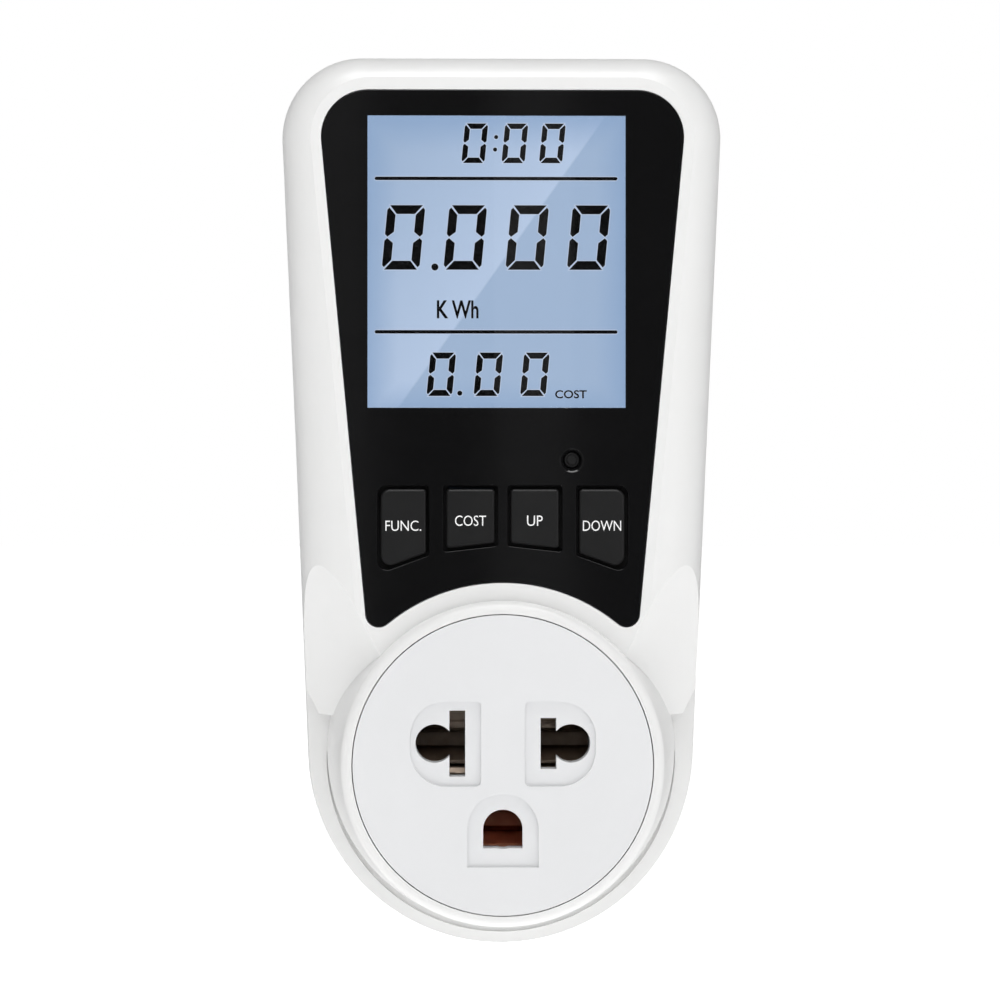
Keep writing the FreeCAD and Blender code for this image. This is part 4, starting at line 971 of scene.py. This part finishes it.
# ---------------------------------------------------------------- socket
@dataclass
class Socket:
    """The socket disc with softened holes, and the folded contacts behind it.

    A leaf's bends are given by how far they lie behind its mouth and out from its throat or its back.
    """

    rounding: float = 0.14 * MM
    skin: float = 0.6 * MM
    strip: float = 0.5 * MM
    strip_rounding: float = 0.08 * MM
    lip: float = -0.2 * MM
    throat_bends: tuple[Point, ...] = ((1.2 * MM, 0.9 * MM), (2.6 * MM, 0.0), (4.2 * MM, 0.25 * MM))
    back_bends: tuple[Point, ...] = ((7.5 * MM, -0.6 * MM), (11.5 * MM, -0.5 * MM), (12.4 * MM, -1.1 * MM))
    leaf_length: float = 12.6 * MM
    pair_reach: float = 3.1 * MM
    pair_throat: float = 1.25 * MM
    pair_spine_top: float = 4.2 * MM
    earth_reach: float = 3.0 * MM
    earth_throat: float = 1.3 * MM
    cheek_start: float = 4.95 * MM
    cheek_width: float = 2.6 * MM
    cheek_ends: tuple[Point, ...] = ((1.7 * MM, 4.7 * MM), (-4.7 * MM, -2.9 * MM))
    cheek_bends: tuple[float, ...] = (0.2 * MM, 0.7 * MM, 2.0 * MM)
    spine_half: float = 1.5 * MM
    spine_thick: float = 0.8 * MM
    spine_start: float = 12.8 * MM

    def build(self) -> None:
        """Makes the disc and the three contacts."""
        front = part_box("socket_face")[0].y
        mesh = copied("socket_face")
        soften(mesh, self.rounding, 3, lambda edge: all(vert.co.y < front + self.skin for vert in edge.verts)
               and abs(edge.verts[0].co.y - edge.verts[1].co.y) < LEVEL)
        finished(mesh, "socket_disc", "socket_white", stands_for=("socket_face",))
        self.pair("neutral", -1)
        self.pair("line", 1)
        self.earth()

    def folded(self, mesh: bmesh.types.BMesh, profile: list[Point], across: Point) -> None:
        """Adds a bent strip, still without thickness.

        Args:
            mesh: where it goes.
            profile: its bends in y and z.
            across: the two x places that it runs between.
        """
        verts = [mesh.verts.new((across[0], y, z)) for y, z in profile]
        edges = [mesh.edges.new(pair) for pair in zip(verts, verts[1:])]
        for _ in range(2):
            made = bmesh.ops.subdivide_edges(mesh, edges=edges, cuts=1, smooth=1.0)["geom"]
            edges = [item for item in made if isinstance(item, bmesh.types.BMEdge)]
        run = bmesh.ops.extrude_edge_only(mesh, edges=edges)["geom"]
        bmesh.ops.translate(mesh, vec=(across[1] - across[0], 0, 0),
                            verts=[item for item in run if isinstance(item, bmesh.types.BMVert)])

    def formed(self, mesh: bmesh.types.BMesh) -> None:
        """Gives folded strips their thickness and softened edges."""
        bmesh.ops.recalc_face_normals(mesh, faces=mesh.faces)
        bmesh.ops.solidify(mesh, geom=mesh.faces[:], thickness=self.strip)
        bmesh.ops.recalc_face_normals(mesh, faces=mesh.faces)
        soften(mesh, self.strip_rounding, 2, lambda edge: True)

    def leaves(self, mesh: bmesh.types.BMesh, box: tuple[Vector, Vector], middle: float, reach: float,
               throat: float) -> None:
        """Adds the two sprung leaves of a contact, from their flared mouth back to the base.

        Args:
            mesh: where they go.
            box: the contact's bounding box.
            middle: the z between them.
            reach: how far from the middle their backs stand.
            throat: how far from the middle they grip.
        """
        low, high = box
        bends = [(0.0, reach + self.lip)]
        bends += [(behind, throat + out) for behind, out in self.throat_bends]
        bends += [(behind, reach + out) for behind, out in self.back_bends]
        bends.append((self.leaf_length, 0.0))
        for sign in (1, -1):
            profile = [(low.y + behind, middle + sign * out) for behind, out in bends]
            self.folded(mesh, profile, (low.x, high.x))

    def spine(self, mesh: bmesh.types.BMesh, box: tuple[Vector, Vector], middle: float, top: float) -> None:
        """Adds the strip that runs back from a contact's leaves.

        Args:
            mesh: where it goes.
            box: the contact's bounding box.
            middle: the x of its middle.
            top: the z of its upper side.
        """
        strip = bmesh.new()
        oblong(strip, (middle - self.spine_half, middle + self.spine_half), (top - self.spine_thick, top),
               box[1].y, box[0].y + self.spine_start)
        spare = bpy.data.meshes.new("spare")
        strip.to_mesh(spare)
        strip.free()
        mesh.from_mesh(spare)
        bpy.data.meshes.remove(spare)

    def pair(self, name: str, side: int) -> None:
        """The line or neutral contact: two leaves for the round pin and two cheeks for the flat one.

        Args:
            name: which of the two.
            side: 1 where the flat pin's cheeks are on the +X side, -1 where they are on the other.
        """
        node = name + "_contact"
        low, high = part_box(node)
        mesh = bmesh.new()
        self.leaves(mesh, (low, high), 0.0, self.pair_reach, self.pair_throat)
        start = self.cheek_start * side
        for first, last in self.cheek_ends:
            levels = (first, (first + last) / 2, last)
            self.folded(mesh, [(low.y + behind, z) for behind, z in zip(self.cheek_bends, levels)],
                        (start, start + side * self.cheek_width))
        self.formed(mesh)
        self.spine(mesh, (low, high), (low.x + high.x) / 2, self.pair_spine_top)
        finished(mesh, name + "_leaves", "bronze_contact", stands_for=(node,))

    def earth(self) -> None:
        """The earth contact: two copper leaves with a closed back."""
        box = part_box("earth_contact")
        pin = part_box("earth_pin")
        mesh = bmesh.new()
        self.leaves(mesh, box, (pin[0].z + pin[1].z) / 2, self.earth_reach, self.earth_throat)
        self.formed(mesh)
        self.spine(mesh, box, 0.0, box[1].z)
        finished(mesh, "earth_leaves", "copper_contact", stands_for=("earth_contact",))


# ---------------------------------------------------------------- plug and label
@dataclass
class Back:
    """What shows behind: the plug's foot and the label."""

    foot_rounding: float = 0.6 * MM
    foot_centre: Point = (0.0, -3.0 * MM)
    foot_rim: float = 15 * MM
    line_half: float = 0.12 * MM
    print_thick: float = 0.03 * MM
    margin: float = 1.0 * MM
    header: float = 7 * MM
    footer: float = 9 * MM
    rows: int = 4
    first_row: float = 10.5 * MM
    row_pitch: float = 3.4 * MM
    row_inset: float = 2 * MM
    row_shorter: float = 3 * MM

    def build(self) -> None:
        """Makes the foot and the label's print."""
        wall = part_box("plug_base")[1].y
        mesh = copied("plug_base")
        soften(mesh, self.foot_rounding, 3, lambda edge: flat_at(edge, wall)
               and ring_length(edge, self.foot_centre) > self.foot_rim)
        finished(mesh, "plug_foot", "socket_white", stands_for=("plug_base",))
        self.label()

    def label(self) -> None:
        """A ruled border and blank rows on the label."""
        low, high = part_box("rating_label")
        back, front = high.y, high.y + self.print_thick
        mesh = bmesh.new()
        left, right = low.x + self.margin, high.x - self.margin
        bottom, top = low.z + self.margin, high.z - self.margin
        half = self.line_half
        for z in (bottom, top, top - self.header, bottom + self.footer):
            oblong(mesh, (left, right), (z - half, z + half), back, front)
        for x in (left, right):
            oblong(mesh, (x - half, x + half), (bottom, top), back, front)
        for number in range(self.rows):
            z = top - self.first_row - number * self.row_pitch
            ends = (left + self.row_inset, right - self.row_inset - number * self.row_shorter)
            oblong(mesh, ends, (z - half, z + half), back, front)
        finished(mesh, "label_print", "grey_print", flat=True)


# ---------------------------------------------------------------- studio
@dataclass
class Studio:
    """Pale floor, soft lights and the camera; a lamp is its name, place, size and power."""

    glow_front: float = 0.03
    glow_behind: float = 0.24
    glow_reach: Point = (-1.0, 0.1)
    floor_drop: float = 0.06
    floor_size: float = 6.0
    floor_glow: float = 0.9
    lamps: tuple[tuple[str, Colour, Point, float], ...] = (
        ("front_soft", (0.03, -0.9, 0.75), (0.8, 0.5), 2.9),
        ("top_soft", (0.0, -0.22, 0.8), (0.7, 0.4), 3.9),
        ("right_soft", (0.8, -0.45, 0.1), (0.4, 0.7), 0.5),
        ("strip_left", (-0.16, -2.4, 0.2), (0.09, 1.6), 0.06),
        ("strip_right", (0.07, -2.4, 0.2), (0.09, 1.6), 0.06))
    lamps_aim: Colour = (0, 0, 0.03)
    camera_distance: float = 0.330
    camera_side: float = -0.0049
    camera_height: float = 0.0339
    camera_turn: float = -0.78
    lens: float = 85.5

    def build(self) -> None:
        """Makes the stage, lights and camera."""
        self.world()
        self.floor()
        self.lights()
        self.camera()

    def world(self) -> None:
        """A white backdrop, with a surrounding light that is dimmer in front of the panel."""
        world = bpy.data.worlds.new("studio")
        bpy.context.scene.world = world
        world.use_nodes = True
        tree = world.node_tree
        tree.nodes.clear()
        out = tree.nodes.new("ShaderNodeOutputWorld")
        mix = tree.nodes.new("ShaderNodeMixShader")
        path = tree.nodes.new("ShaderNodeLightPath")
        place = tree.nodes.new("ShaderNodeTexCoord")
        split = tree.nodes.new("ShaderNodeSeparateXYZ")
        spread = tree.nodes.new("ShaderNodeMapRange")
        for name, number in zip(("From Min", "From Max", "To Min", "To Max"),
                                (*self.glow_reach, self.glow_front, self.glow_behind)):
            spread.inputs[name].default_value = number
        soft = tree.nodes.new("ShaderNodeBackground")
        bright = tree.nodes.new("ShaderNodeBackground")
        for glow in (soft, bright):
            glow.inputs["Color"].default_value = WHITE
        tree.links.new(place.outputs["Generated"], split.inputs["Vector"])
        tree.links.new(split.outputs["Y"], spread.inputs["Value"])
        tree.links.new(spread.outputs["Result"], soft.inputs["Strength"])
        tree.links.new(path.outputs["Is Camera Ray"], mix.inputs["Fac"])
        tree.links.new(soft.outputs["Background"], mix.inputs[1])
        tree.links.new(bright.outputs["Background"], mix.inputs[2])
        tree.links.new(mix.outputs["Shader"], out.inputs["Surface"])

    def floor(self) -> None:
        """A pale floor below the part."""
        mesh = bmesh.new()
        bmesh.ops.create_grid(mesh, x_segments=1, y_segments=1, size=self.floor_size)
        bmesh.ops.translate(mesh, vec=(0, 0, CAD_BOX[0].z - self.floor_drop), verts=mesh.verts)
        data = bpy.data.meshes.new("floor")
        mesh.to_mesh(data)
        mesh.free()
        floor = bpy.data.objects.new("floor", data)
        bpy.context.collection.objects.link(floor)
        weave = Weave("pale_floor")
        tone = weave.tint(weave.noise(3.0), (0.89, 0.89, 0.89), (0.92, 0.92, 0.92))
        weave.set(Base_Color=tone, Roughness=0.9, Specular_IOR_Level=0.1, Emission_Color=WHITE,
                  Emission_Strength=self.floor_glow)
        data.materials.append(weave.material)
        floor.visible_glossy = False

    def lights(self) -> None:
        """Large soft lights, and two dim strips that the gloss picks up."""
        for name, place, size, power in self.lamps:
            data = bpy.data.lights.new(name, "AREA")
            data.shape = "RECTANGLE"
            data.size, data.size_y = size
            data.energy = power
            lamp = bpy.data.objects.new(name, data)
            lamp.location = place
            lamp.visible_camera = False
            direction = Vector(self.lamps_aim) - Vector(place)
            lamp.rotation_euler = direction.to_track_quat("-Z", "Y").to_euler()
            bpy.context.collection.objects.link(lamp)

    def camera(self) -> None:
        """The front view."""
        data = bpy.data.cameras.new("front")
        data.lens = self.lens
        camera = bpy.data.objects.new("front", data)
        camera.location = (self.camera_side, CAD_BOX[0].y - self.camera_distance, self.camera_height)
        camera.rotation_euler = (math.pi / 2, 0, math.radians(self.camera_turn))
        bpy.context.collection.objects.link(camera)
        bpy.context.scene.camera = camera


def main() -> None:
    """Builds everything."""
    logging.basicConfig(level=logging.INFO)
    dress_nodes()
    for section in (Panel(), Display(), Keys(), Socket(), Back(), Studio()):
        section.build()
        LOG.info("%s built", type(section).__name__)
    bpy.context.scene.view_settings.view_transform = "Standard"


if __name__ == "__main__":
    main()
